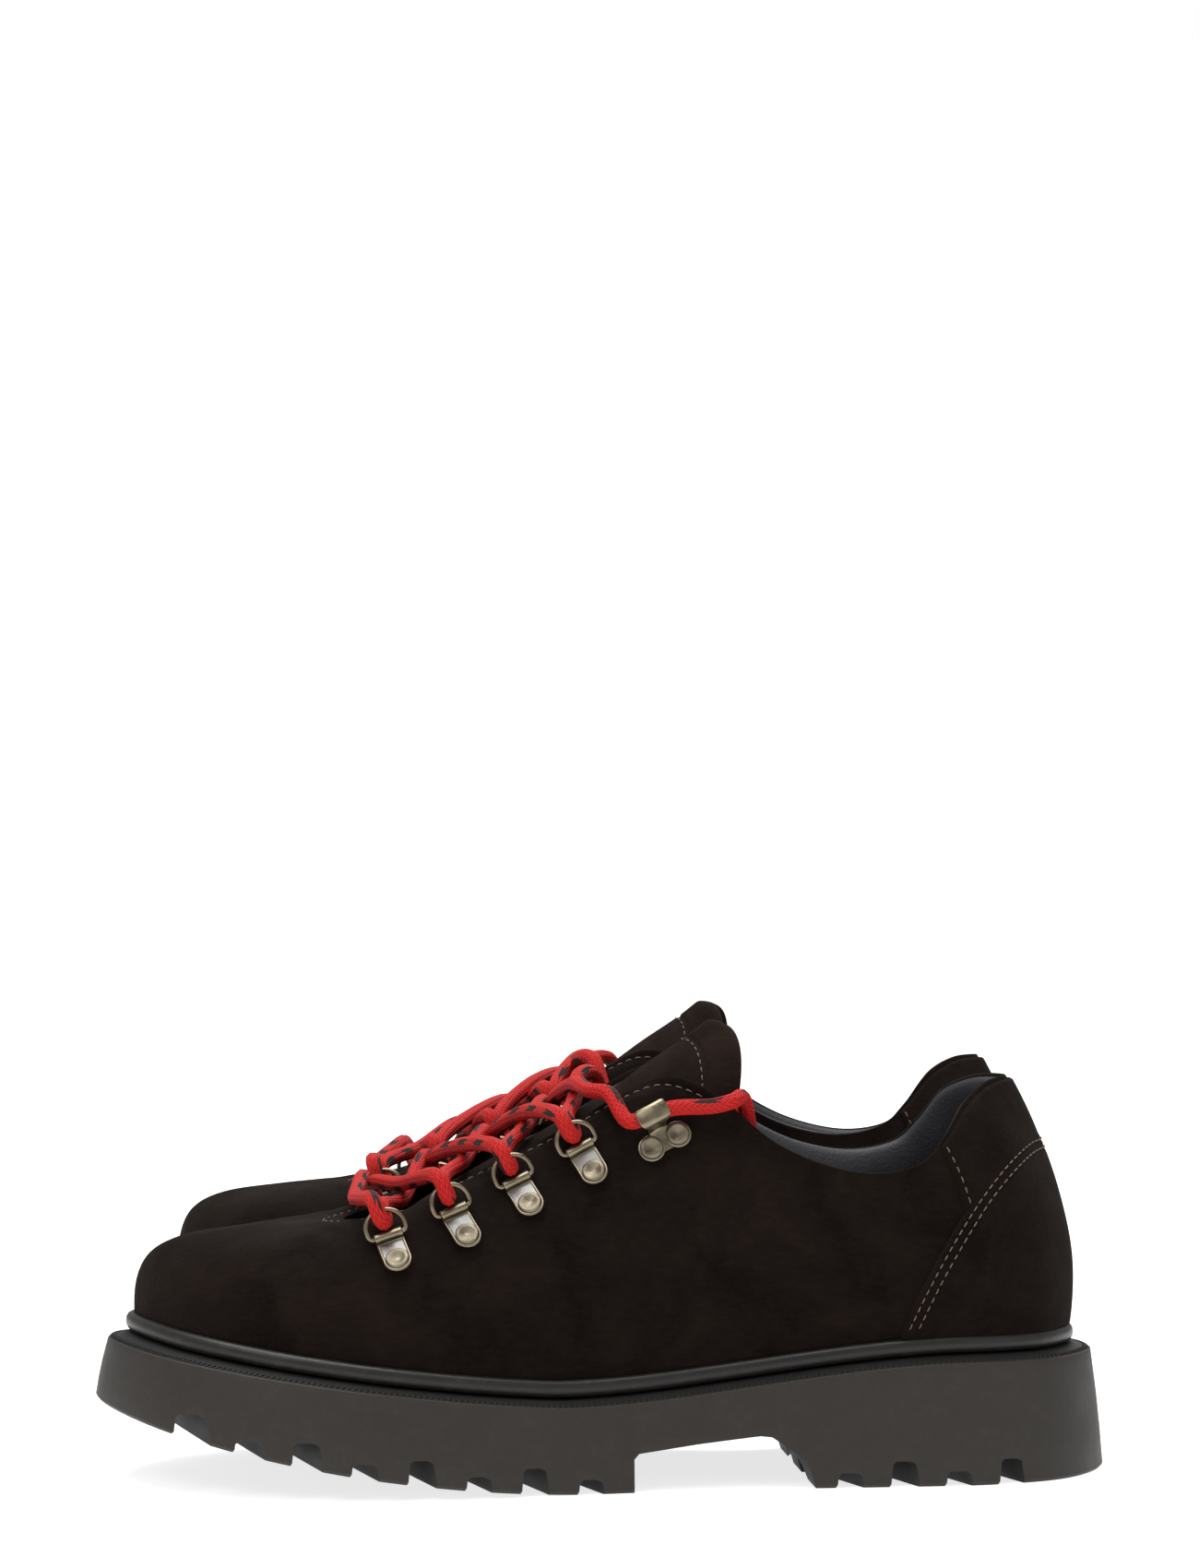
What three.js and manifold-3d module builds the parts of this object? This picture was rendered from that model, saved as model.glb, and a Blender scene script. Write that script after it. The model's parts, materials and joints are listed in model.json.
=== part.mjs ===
// A pair of low hiking boots: suede upper on a lugged rubber unit sole, laced through
// D-rings and speed hooks. Millimetres, +Z up, toes towards -X, origin on the ground in
// the middle of the pair. One boot is drawn as a left boot; the right one is its mirror.
import * as THREE from "three";
import { mergeVertices } from "three/addons/utils/BufferGeometryUtils.js";
import Module from "manifold-3d";

const wasm = await Module();
wasm.setup();

// ---- driving sizes ----
const UPPER_LENGTH = 285; // toe to heel of the upper at the feather line
const BALL_WIDTH = 97; // upper at the ball, feather to feather
const BACK_HEIGHT = 81.6; // back of the collar above the sole's top
const WAIST_SOLE = 25; // sole edge height at its lowest, under the instep
const HEEL_LIFT = 11; // heel edge above the waist edge
const TOE_LIFT = 18.2; // toe edge above the waist edge
const TOE_SPRING = 23.4; // underside of the toe above the ground
const ARCH_HEIGHT = 15.8; // underside of the waist above the ground
const LEDGE_WIDTH = 5.7; // sole ledge outside the welt band
const LEDGE_FALL = 2; // the ledge slopes down to its edge by this
const SIDE_FLARE = 3.7; // tread edge outside the ledge edge
const BAND_HEIGHT = 5; // welt band
const BAND_THICKNESS = 4.5;
const TUCK = 2.4; // the upper turns in behind the band by this
const UPPER_THICKNESS = 2;
const LINING_THICKNESS = 1.2;
const PANEL_THICKNESS = 1.2;
const BOARD_THICKNESS = 2.5;
const FOOTBED_THICKNESS = 5;
const SHANK_LENGTH = 104;
const SHANK_WIDTH = 15;
const SHANK_THICKNESS = 1.4;
const TONGUE_THICKNESS = 5;
const LACE_DIAMETER = 4.8;
const LACE_ROOM = 0.3; // the lace's loop round a bow stands this much off it, beside the gap
const RING_WIRE = 1.5;
const RING_WIDTH = 13.1; // outside, along the hinge bar
const RING_DEPTH = 8.6; // hinge axis to the outside of the bow
const RING_TILT = THREE.MathUtils.degToRad(33); // bow raised off the leather
const CLIP_WIDTH = 8.6;
const CLIP_LENGTH = 8.7; // hinge axis to rivet centre
const CLIP_PLATE = 0.9;
const BARREL_WALL = 0.55;
const RIVET_DIAMETER = 7.1;
const RIVET_HEIGHT = 1.3;
const HOOK_TAB = [9.3, 5.8]; // folded tab, along and across the eyestay
const HOOK_RIVET_SPACING = 9;
const TREAD_PITCH = 33.4; // deep groove to deep groove on the forefoot
const HEEL_PITCH = 32.8;
const GROOVE_WIDTH = 6.4;
const DEEP_GROOVE = 7.6;
const SHALLOW_GROOVE = 4.4;
const GROOVE_SLANT = THREE.MathUtils.degToRad(18);
const GAP = 0.35; // between neighbours that touch on the real boot
const HINGE_CLEARANCE = 0.3; // bar to barrel
const BOOT_SPACING = 128; // between the centre lines of the two boots
const TOE_OUT = THREE.MathUtils.degToRad(5);

// ---- grading: the pattern is drawn at its base size and scaled to the sizes above ----
const PATTERN = { length: 285, width: 97, height: 81.6 };
const gradeX = UPPER_LENGTH / PATTERN.length;
const gradeY = BALL_WIDTH / PATTERN.width;
const gradeZ = BACK_HEIGHT / PATTERN.height;
const WAIST_X = -15 * gradeX;
const HEEL_EDGE_RUN = 125 * gradeX; // the edge climbs to the heel over this length
const TOE_EDGE_RUN = 135 * gradeX;
const ROCKER_START = -5 * gradeX;
const ROCKER_RUN = 147 * gradeX;

const V = (x, y, z) => new THREE.Vector3(x, y, z);
const { lerp, smoothstep, degToRad } = THREE.MathUtils;

// Height of the sole's top in the base pattern, for places that the pattern gives by x and z.
function patternTop(x) {
  const rise = x > -15 ? 11 * smoothstep((x + 15) / 125, 0, 1) : 18.2 * Math.pow((-15 - x) / 135, 1.3);
  return 27 + rise;
}
const graded = ([x, z]) => [x * gradeX, soleTop(x * gradeX) + (z - patternTop(x)) * gradeZ];

function edgeHeight(x) {
  if (x > WAIST_X) return WAIST_SOLE + HEEL_LIFT * smoothstep((x - WAIST_X) / HEEL_EDGE_RUN, 0, 1);
  return WAIST_SOLE + TOE_LIFT * Math.pow((WAIST_X - x) / TOE_EDGE_RUN, 1.3);
}
const soleTop = (x) => edgeHeight(x) + LEDGE_FALL;
const treadHeight = (x) =>
  x > ROCKER_START ? 0 : TOE_SPRING * Math.pow((ROCKER_START - x) / ROCKER_RUN, 1.67);

// ---- the upper's surface: ribs from the feather line to the opening's edge ----
// Each station is [feather x, feather y, edge x, edge y, edge height above the sole].
const HEEL_STATION = [143.5, 0, 125.4, 0, 81.6];
const TOE_STATION = [-141.5, 1, -78.3, 0, 43.2];
const LATERAL_STATIONS = [
  [140, -12.5, 117.5, -11, 80],
  [129.5, -25.5, 109, -21.5, 74.4],
  [112, -32.5, 101.5, -27.5, 64],
  [96, -34, 94, -30.5, 57],
  [79, -34.5, 80, -33, 55.6],
  [62, -34.7, 64, -33, 60.4],
  [45, -35, 50, -31.5, 68.7],
  [28, -36, 38, -29.5, 80],
  [12, -38, 28.2, -27.5, 88.4],
  [-5, -40.5, 17, -24.5, 92.2],
  [-24, -44, 4, -22, 87.8],
  [-48, -48, -16, -21, 76.7],
  [-76, -49.5, -37, -21.5, 64.5],
  [-104, -43.5, -57, -19.5, 51.4],
  [-128, -27.5, -70, -13, 45.8],
];
const MEDIAL_STATIONS = [
  [140, 12, 117.5, 11, 81],
  [129.5, 23.5, 109, 21, 76],
  [112, 30, 101.5, 25.5, 66.5],
  [96, 30, 94, 27.5, 60],
  [79, 28.5, 80, 28.5, 58.2],
  [62, 27, 64, 28.5, 62.6],
  [45, 26.5, 50, 28, 71],
  [28, 28, 38, 27.5, 82],
  [12, 31, 28.2, 26.5, 89.6],
  [-5, 34.5, 17, 24.5, 93],
  [-24, 39.5, 4, 22, 88.4],
  [-48, 45, -16, 21, 77],
  [-78, 47.5, -37, 21.5, 65.6],
  [-107, 41.5, -57, 19.5, 52.4],
  [-129, 26.5, -70, 13, 46.2],
];
// Fullness of the ribs: [station, bulge, wall height, lean, shoulder height], the last three
// as shares of the rib's own rise and run.
const FULLNESS = [
  [0, 4.3, 0.31, 0.28, 0.71],
  [4, 8, 0.37, 0, 0.73],
  [9, 9, 0.33, 0.2, 0.76],
  [12, 5, 0.36, 0.5, 0.78],
  [14, 3, 0.52, 0.42, 0.84],
  [16, 1.1, 0.93, 0.21, 0.9],
];
const HALF = LATERAL_STATIONS.length + 1; // stations from heel to toe

function fullnessAt(station) {
  const next = Math.max(1, FULLNESS.findIndex((row) => row[0] >= station));
  const [a, b] = [FULLNESS[next - 1], FULLNESS[next]];
  const t = smoothstep((station - a[0]) / (b[0] - a[0]), 0, 1);
  return [1, 2, 3, 4].map((i) => lerp(a[i], b[i], t));
}

const stations = [HEEL_STATION, ...LATERAL_STATIONS, TOE_STATION, ...[...MEDIAL_STATIONS].reverse()];
const closed = (points) => new THREE.CatmullRomCurve3(points, true, "catmullrom", 0.5);
const feather = closed(
  stations.map(([x, y]) => V(x * gradeX, y * gradeY, soleTop(x * gradeX) + BAND_HEIGHT)),
);
const opening = closed(
  stations.map(([, , x, y, rise]) => V(x * gradeX, y * gradeY, soleTop(x * gradeX) + rise * gradeZ)),
);
// Outward direction in plan, square to the feather line.
function outward(u) {
  const along = feather.getTangent(((u % 1) + 1) % 1);
  return V(along.y, -along.x, 0).normalize().negate();
}
const pulls = stations.map((_, i) => {
  const [bulge, wall, lean, shoulder] = fullnessAt(i <= HALF ? i : stations.length - i);
  const f = feather.points[i];
  const o = opening.points[i];
  const rise = o.z - f.z;
  const lower = f.clone().addScaledVector(outward(i / stations.length), bulge * gradeY);
  lower.z += wall * rise;
  const upper = f.clone().lerp(o, lean);
  upper.z = f.z + shoulder * rise;
  return [lower, upper];
});
const lowerPull = closed(pulls.map((p) => p[0]));
const upperPull = closed(pulls.map((p) => p[1]));

// u runs once round the boot from the back of the heel along the lateral side,
// v from the feather line (0) to the opening's edge (1).
function skin(u, v, lift = 0) {
  const at = (a, b) => {
    const t = ((a % 1) + 1) % 1;
    return new THREE.CubicBezierCurve3(
      feather.getPoint(t), lowerPull.getPoint(t), upperPull.getPoint(t), opening.getPoint(t),
    ).getPoint(b);
  };
  const p = at(u, v);
  if (!lift) return p;
  return p.addScaledVector(skinNormal(at, u, v), lift);
}
function skinNormal(at, u, v) {
  const step = 1e-3;
  const alongU = at(u + step, v).sub(at(u - step, v));
  const low = Math.max(v - step, 0);
  const high = Math.min(v + step, 1);
  const alongV = at(u, high).sub(at(u, low));
  return alongV.cross(alongU).normalize();
}
const normalAt = (u, v) => skin(u, v, 1).sub(skin(u, v));
// A point off the feather line in plan: out from it by `out`, `rise` above the sole's top.
function sidePoint(u, out, rise) {
  const f = feather.getPoint(((u % 1) + 1) % 1);
  const p = f.clone().addScaledVector(outward(u), out);
  p.z = soleTop(f.x) + rise;
  return p;
}
// The skin's point that lies at pattern position x, z on one side of the boot.
function skinAt(x, z, side) {
  let [u, v] = [side < 0 ? 0.36 : 0.64, 0.7];
  for (let i = 0; i < 40; i++) {
    const p = skin(u, v);
    const du = skin(u + 1e-4, v).sub(p).divideScalar(1e-4);
    const dv = skin(u, v + 1e-4).sub(p).divideScalar(1e-4);
    const det = du.x * dv.z - dv.x * du.z;
    u += (0.6 * ((x - p.x) * dv.z - dv.x * (z - p.z))) / det;
    v += (0.6 * (du.x * (z - p.z) - (x - p.x) * du.z)) / det;
    v = THREE.MathUtils.clamp(v, 0, 0.999);
  }
  return [u, v];
}

// ---- solids ----
function geometryOf(vertices, faces) {
  const g = new THREE.BufferGeometry();
  g.setAttribute("position", new THREE.Float32BufferAttribute(vertices.flatMap((p) => [p.x, p.y, p.z]), 3));
  g.setIndex(faces);
  return g;
}
// Rings of equally many points, joined one to the next; `loop` joins the last to the first,
// otherwise both ends are closed by strips between mirrored points.
function ringSolid(rings, loop) {
  const n = rings[0].length;
  const faces = [];
  const count = rings.length;
  for (let r = 0; r < (loop ? count : count - 1); r++) {
    const [a, b] = [r * n, ((r + 1) % count) * n];
    for (let i = 0; i < n; i++) {
      const j = (i + 1) % n;
      faces.push(a + i, a + j, b + j, a + i, b + j, b + i);
    }
  }
  if (!loop) {
    faces.push(...endCap(n, 0, true), ...endCap(n, (count - 1) * n, false));
  }
  const g = geometryOf(rings.flat(), faces);
  return volumeOf(g) < 0 ? turned(g) : g;
}
function endCap(n, base, flip) {
  const faces = [];
  const add = (a, b, c) => faces.push(...(flip ? [base + a, base + c, base + b] : [base + a, base + b, base + c]));
  for (let i = 0; i < n / 2; i++) {
    const [a, b] = [i, i + 1];
    const [c, d] = [(n - i) % n, n - i - 1];
    if (a !== c) add(a, b, c);
    if (b !== d) add(b, d, c);
  }
  return faces;
}
function volumeOf(g) {
  const p = g.getAttribute("position");
  const index = g.index.array;
  let sum = 0;
  for (let i = 0; i < index.length; i += 3) {
    const [a, b, c] = [0, 1, 2].map((k) => new THREE.Vector3().fromBufferAttribute(p, index[i + k]));
    sum += a.dot(b.cross(c));
  }
  return sum / 6;
}
function turned(g) {
  const index = g.index.array;
  for (let i = 0; i < index.length; i += 3) [index[i], index[i + 1]] = [index[i + 1], index[i]];
  return g;
}
function solid(geometry) {
  const bare = new THREE.BufferGeometry().setAttribute("position", geometry.getAttribute("position"));
  bare.setIndex(geometry.index);
  const g = mergeVertices(bare, 1e-4);
  return new wasm.Manifold(
    new wasm.Mesh({
      numProp: 3,
      vertProperties: g.getAttribute("position").array,
      triVerts: new Uint32Array(g.index.array),
    }),
  );
}
function fromSolid(s) {
  const m = s.getMesh();
  const g = new THREE.BufferGeometry();
  g.setAttribute("position", new THREE.BufferAttribute(new Float32Array(m.vertProperties), 3));
  g.setIndex(new THREE.BufferAttribute(new Uint32Array(m.triVerts), 1));
  return g;
}
const join = (...parts) => fromSolid(parts.map(solid).reduce((a, b) => a.add(b)));
const cut = (body, tools) => fromSolid(tools.map(solid).reduce((a, b) => a.subtract(b), solid(body)));
// A geometry drawn in x along, y across, z off a place, moved to that place.
const placed = (g, { at, along, across, off }) =>
  g.applyMatrix4(new THREE.Matrix4().makeBasis(along, across, off).setPosition(at));

// ---- rows shared by the upper, its lining and its panels ----
const AROUND = 40;
const ROWS = [0, 0.13, 0.32, 0.52, 0.72, 0.88, 1];
const roundTheBoot = (make) => Array.from({ length: AROUND }, (_, i) => make(i / AROUND));
const row = (v, lift) => roundTheBoot((u) => skin(u, v, lift));
const sideRow = (out, rise) => roundTheBoot((u) => sidePoint(u, out, rise));

const bandOut = BAND_THICKNESS - TUCK;
const ledgeOut = bandOut + LEDGE_WIDTH;
const liningLift = -UPPER_THICKNESS - GAP;
const boardTop = GAP + BOARD_THICKNESS;
const boardOut = -TUCK - UPPER_THICKNESS - GAP;

// ---- the sole unit ----
function treadRow(out) {
  return roundTheBoot((u) => {
    const p = sidePoint(u, out, 0);
    p.z = treadHeight(p.x);
    return p;
  });
}
function outsoleBlock() {
  const edge = roundTheBoot((u) => sidePoint(u, ledgeOut, -LEDGE_FALL));
  return ringSolid([treadRow(ledgeOut + SIDE_FLARE), edge, sideRow(bandOut - 1, 0), sideRow(boardOut, 0)], false);
}
// The hollow under the instep, cut right across between the forefoot and the heel.
function archCutter() {
  const s = new THREE.Shape();
  s.moveTo(6 * gradeX, -5);
  s.lineTo(6 * gradeX, ARCH_HEIGHT * 0.62);
  s.lineTo(26 * gradeX, ARCH_HEIGHT * 0.86);
  s.lineTo(46 * gradeX, ARCH_HEIGHT);
  s.lineTo(58 * gradeX, ARCH_HEIGHT * 0.5);
  s.lineTo(62 * gradeX, -5);
  const wide = 2 * BALL_WIDTH;
  const g = new THREE.ExtrudeGeometry(s, { depth: wide, bevelEnabled: false });
  return g.rotateX(Math.PI / 2).translate(0, wide / 2, 0);
}
// The tread's edge at one x on one side.
function treadEdge(x, side) {
  let [low, high] = side < 0 ? [0, 0.5] : [1, 0.5];
  for (let i = 0; i < 40; i++) {
    const middle = (low + high) / 2;
    if (sidePoint(middle, ledgeOut + SIDE_FLARE, 0).x > x) low = middle;
    else high = middle;
  }
  return sidePoint(low, ledgeOut + SIDE_FLARE, 0).y;
}
// One groove of the tread: a slanted channel that runs in from the tread's edge on one side.
const GROOVE_TAPER = 1.8; // a groove is this much wider on each side at CUTTER_DROP below the tread
const CUTTER_DROP = 6;
const CUTTER_LEAD = 12; // the cutter starts this far outside the edge
function groove(x, side, depth, inward) {
  const half = GROOVE_WIDTH / 2;
  const s = new THREE.Shape();
  s.moveTo(-half - GROOVE_TAPER, -CUTTER_DROP);
  s.lineTo(-half, depth);
  s.lineTo(half, depth);
  s.lineTo(half + GROOVE_TAPER, -CUTTER_DROP);
  const edge = treadEdge(x * gradeX, side);
  const run = inward ?? Math.abs(edge) + 2;
  const g = new THREE.ExtrudeGeometry(s, { depth: run / Math.cos(GROOVE_SLANT) + CUTTER_LEAD, bevelEnabled: false });
  g.rotateX(Math.PI / 2);
  g.rotateZ(side < 0 ? Math.PI + GROOVE_SLANT : -GROOVE_SLANT);
  return g.translate(
    x * gradeX + Math.sin(GROOVE_SLANT) * CUTTER_LEAD,
    edge + side * Math.cos(GROOVE_SLANT) * CUTTER_LEAD,
    treadHeight(x * gradeX),
  );
}
const DEEP_FIRST = -23.6; // rearmost deep groove of the forefoot
const HEEL_DEEP_FIRST = 87.3;
const SHALLOW_RUN = 33; // the shallow grooves stop this far in
function grooves() {
  const cutters = [];
  const deepAt = [0, 1, 2, 3].map((i) => DEEP_FIRST - i * TREAD_PITCH);
  const shallowAt = deepAt.map((x) => x + TREAD_PITCH / 2);
  const heelDeepAt = [HEEL_DEEP_FIRST, HEEL_DEEP_FIRST + HEEL_PITCH];
  const heelShallowAt = heelDeepAt.map((x) => x - HEEL_PITCH / 2);
  for (const side of [-1, 1]) {
    for (const x of [...deepAt, ...heelDeepAt]) cutters.push(groove(x, side, DEEP_GROOVE));
    for (const x of [...shallowAt, ...heelShallowAt]) cutters.push(groove(x, side, SHALLOW_GROOVE, SHALLOW_RUN * gradeY));
  }
  return cutters;
}
// A flat steel strip that follows the sole's top through the waist.
function shankStrip(extra) {
  const steps = 8;
  const half = SHANK_WIDTH / 2 + extra;
  const length = SHANK_LENGTH * gradeX;
  const rings = Array.from({ length: steps + 1 }, (_, i) => {
    const x = lerp(-length * 0.42 - extra, length * 0.58 + extra, i / steps);
    const [top, bottom] = [soleTop(x) - GAP + 3 * extra, soleTop(x) - 2 * GAP - SHANK_THICKNESS - extra + GAP];
    return [V(x, half, top), V(x, half, bottom), V(x, -half, bottom), V(x, -half, top)];
  });
  return ringSolid(rings, false);
}
const outsole = () => cut(outsoleBlock(), [archCutter(), ...grooves(), shankStrip(GAP)]);

function weltBand() {
  return ringSolid(
    [
      sideRow(-TUCK + GAP, GAP),
      sideRow(GAP, BAND_HEIGHT),
      sideRow(bandOut - 0.8, BAND_HEIGHT + 0.1),
      sideRow(bandOut, BAND_HEIGHT - 1.2),
      sideRow(bandOut, 1.6),
      sideRow(bandOut - 0.8, GAP),
    ],
    true,
  );
}
const insoleBoard = () => ringSolid([sideRow(boardOut, GAP), sideRow(boardOut, boardTop)], false);
function footbed() {
  const bottom = boardTop + GAP;
  const out = boardOut - GAP;
  return ringSolid(
    [
      sideRow(out, bottom),
      sideRow(out, bottom + FOOTBED_THICKNESS),
      sideRow(out - 8, bottom + FOOTBED_THICKNESS - 1.5),
    ],
    false,
  );
}

// ---- the upper ----
function upperShell() {
  const tuckOuter = sideRow(-TUCK, GAP);
  const tuckInner = sideRow(-TUCK - UPPER_THICKNESS, GAP);
  const outer = ROWS.map((v) => row(v, 0));
  const inner = ROWS.map((v) => row(v, -UPPER_THICKNESS)).reverse();
  return ringSolid([tuckOuter, ...outer, ...inner, tuckInner], true);
}
function liningShell() {
  const outer = ROWS.map((v) => row(v, liningLift)).reverse();
  const inner = ROWS.map((v) => row(v, liningLift - LINING_THICKNESS));
  return ringSolid([...inner, ...outer], true);
}
const PANEL_ROOM = 0.15;
// A panel sewn over the upper: `edges(across)` gives its lower and upper v at each u.
function panel(fromU, toU, columns, edges) {
  const grid = (lift) =>
    Array.from({ length: columns + 1 }, (_, i) => {
      const u = lerp(fromU, toU, i / columns);
      const [low, high] = edges(u);
      return Array.from({ length: 6 }, (_, j) => skin(u, lerp(low, high, j / 5), lift));
    });
  const [under, over] = [grid(GAP + PANEL_ROOM), grid(GAP + PANEL_ROOM + PANEL_THICKNESS)];
  const rings = under.map((column, i) => [...column, ...over[i].slice().reverse()]);
  return ringSolidQuads(rings);
}
// Rings of 2n points whose ends close as quads between the two halves.
function ringSolidQuads(rings) {
  const n = rings[0].length;
  const faces = [];
  for (let r = 0; r < rings.length - 1; r++) {
    for (let i = 0; i < n; i++) {
      const [a, b, j] = [r * n, (r + 1) * n, (i + 1) % n];
      faces.push(a + i, a + j, b + j, a + i, b + j, b + i);
    }
  }
  for (const [base, flip] of [[0, true], [(rings.length - 1) * n, false]]) {
    for (let i = 0; i < n / 2 - 1; i++) {
      const [a, b, c, d] = [i, i + 1, n - 2 - i, n - 1 - i].map((k) => base + k);
      faces.push(...(flip ? [a, c, b, a, d, c] : [a, b, c, a, c, d]));
    }
  }
  const g = geometryOf(rings.flat(), faces);
  return volumeOf(g) < 0 ? turned(g) : g;
}
const COUNTER_REACH = 5.66 / AROUND; // the counter panel ends this far round from the heel
const COUNTER_TOP = 0.75; // share of the upper's height that it covers at the heel
const COUNTER_FRONT = 0.05; // and at its front ends
const COUNTER_CURVE = 4.8;
const COLLAR_REACH = 4 / AROUND;
const counterTop = (u) =>
  lerp(COUNTER_TOP, COUNTER_FRONT, Math.pow(Math.abs(u) / COUNTER_REACH, COUNTER_CURVE));
const counterPanel = () => panel(-COUNTER_REACH, COUNTER_REACH, 24, (u) => [0.02, counterTop(u)]);
const collarPanel = () => panel(-COLLAR_REACH, COLLAR_REACH, 8, (u) => [counterTop(u) + 0.03, 0.99]);

// ---- the tongue: [ridge x, ridge height above the sole, half width, drop at the side] ----
const TONGUE_SECTIONS = [
  [-90, 33.5, 12, 3],
  [-78, 37, 15, 5],
  [-64, 45, 18, 7],
  [-44, 59.8, 22, 8.5],
  [-16, 77.2, 23, 11.5],
  [1.4, 87.2, 23.5, 14.5],
  [14.2, 95.4, 23.5, 17.5],
  [26.3, 102.2, 23.5, 20],
  [34, 107.6, 23, 22.5],
];
const TONGUE_SWEEP = 6.7; // the end's sides lie this far behind its ridge
const CAP_SEAM = 7; // section at which the cap is sewn on
const ridgeCurve = new THREE.CatmullRomCurve3(
  TONGUE_SECTIONS.map(([x, rise]) => V(x * gradeX, 0, soleTop(x * gradeX) + rise * gradeZ)),
);
const spanCurve = new THREE.CatmullRomCurve3(TONGUE_SECTIONS.map(([, , w, d]) => V(w * gradeY, d * gradeZ, 0)));
const TONGUE_END = TONGUE_SECTIONS.length - 1;
function tonguePoint(section, across, depth) {
  const t = THREE.MathUtils.clamp(section / TONGUE_END, 0, 1);
  const ridge = ridgeCurve.getPoint(t);
  const span = spanCurve.getPoint(t);
  const sweep = TONGUE_SWEEP * Math.pow(t, 3) * (1 - Math.pow(1 - Math.min(Math.abs(across) / 0.7, 1.4), 2));
  const p = V(ridge.x + sweep, ridge.y + span.x * across, ridge.z - span.y * across * across);
  const tangent = ridgeCurve.getTangent(t);
  const slope = (2 * span.y * across) / span.x;
  const normal = V(-tangent.z, slope * tangent.x, tangent.x).normalize();
  return p.addScaledVector(normal, -depth);
}
function tongueBetween(from, to, steps) {
  const across = [-1, -0.72, -0.4, 0, 0.4, 0.72, 1];
  const rings = Array.from({ length: steps + 1 }, (_, i) => {
    const s = lerp(from, to, i / steps);
    return [
      ...across.map((w) => tonguePoint(s, w, w * w > 0.9 ? 1 : 0)),
      ...across.map((w) => tonguePoint(s, w, w * w > 0.9 ? TONGUE_THICKNESS - 1 : TONGUE_THICKNESS)).reverse(),
    ];
  });
  return ringSolidQuads(rings);
}
const CAP_GAP = 0.02; // share of a section left open at the cap's seam
const tongue = () => tongueBetween(0, CAP_SEAM - CAP_GAP, 12);
const tongueCap = () => tongueBetween(CAP_SEAM + CAP_GAP, TONGUE_END, 3);

// ---- D-rings and their clips ----
const RING_COUNT = 4;
const FIRST_RING = [-65.8, 74.3];
const LAST_RING = [-8.2, 99.4];
const RING_LINE_SAG = 1.5;
const AXIS_HEIGHT = RING_WIRE / 2 + HINGE_CLEARANCE + BARREL_WALL + 0.4; // over the leather
function ringLine(t) {
  const x = lerp(FIRST_RING[0], LAST_RING[0], t);
  const z = lerp(FIRST_RING[1], LAST_RING[1], t) - RING_LINE_SAG * 4 * t * (1 - t);
  return graded([x, z]);
}
// The place of clip i on one side: its hinge axis, the way along it, down to the rivet and off the leather.
function clipPlace(i, side) {
  const t = i / (RING_COUNT - 1);
  const [u, v] = skinAt(...ringLine(t), side);
  const before = skin(...skinAt(...ringLine(t - 0.06), side));
  const after = skin(...skinAt(...ringLine(t + 0.06), side));
  const off = normalAt(u, v);
  const along = after.sub(before);
  along.addScaledVector(off, -along.dot(off)).normalize();
  const down = off.clone().cross(along).multiplyScalar(side < 0 ? -1 : 1).normalize();
  if (down.z > 0) down.negate();
  const at = skin(u, v).addScaledVector(off, AXIS_HEIGHT);
  return { at, along, across: down, off };
}
const handed = (place) => {
  const right = place.along.clone().cross(place.across).dot(place.off) > 0;
  return right ? place : { ...place, along: place.along.clone().negate() };
};
const boreRadius = RING_WIRE / 2 - 0.1 + HINGE_CLEARANCE;
function disc(radius, height, dish) {
  return new THREE.LatheGeometry(
    [
      new THREE.Vector2(0, 0),
      new THREE.Vector2(radius, 0),
      new THREE.Vector2(radius, height * 0.45),
      new THREE.Vector2(radius * 0.82, height),
      new THREE.Vector2(0, height - dish),
    ],
    10,
  ).rotateX(Math.PI / 2);
}
function clip(place) {
  const half = CLIP_WIDTH / 2;
  const plateLow = -AXIS_HEIGHT + 0.4;
  const outline = new THREE.Shape();
  outline.moveTo(-half, 0);
  outline.lineTo(half, 0);
  outline.lineTo(half, CLIP_LENGTH);
  outline.absarc(0, CLIP_LENGTH, half, 0, Math.PI, false);
  const plate = new THREE.ExtrudeGeometry(outline, { depth: CLIP_PLATE, bevelEnabled: false, curveSegments: 3 });
  plate.translate(0, 0, plateLow);
  const ring = new THREE.Shape();
  ring.absarc(0, 0, boreRadius + BARREL_WALL, 0, 2 * Math.PI, false);
  const bore = new THREE.Path();
  bore.absarc(0, 0, boreRadius, 0, 2 * Math.PI, true);
  ring.holes.push(bore);
  const barrel = new THREE.ExtrudeGeometry(ring, { depth: CLIP_WIDTH, bevelEnabled: false, curveSegments: 4 });
  barrel.rotateY(Math.PI / 2).translate(-half, 0, 0);
  const boreCut = new THREE.CylinderGeometry(boreRadius, boreRadius, CLIP_WIDTH + 2, 8);
  boreCut.rotateZ(Math.PI / 2);
  const rivet = disc(RIVET_DIAMETER / 2, RIVET_HEIGHT, 0.4).translate(0, CLIP_LENGTH, plateLow + CLIP_PLATE - 0.05);
  return placed(cut(join(plate, barrel, rivet), [boreCut]), handed(place));
}
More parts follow.
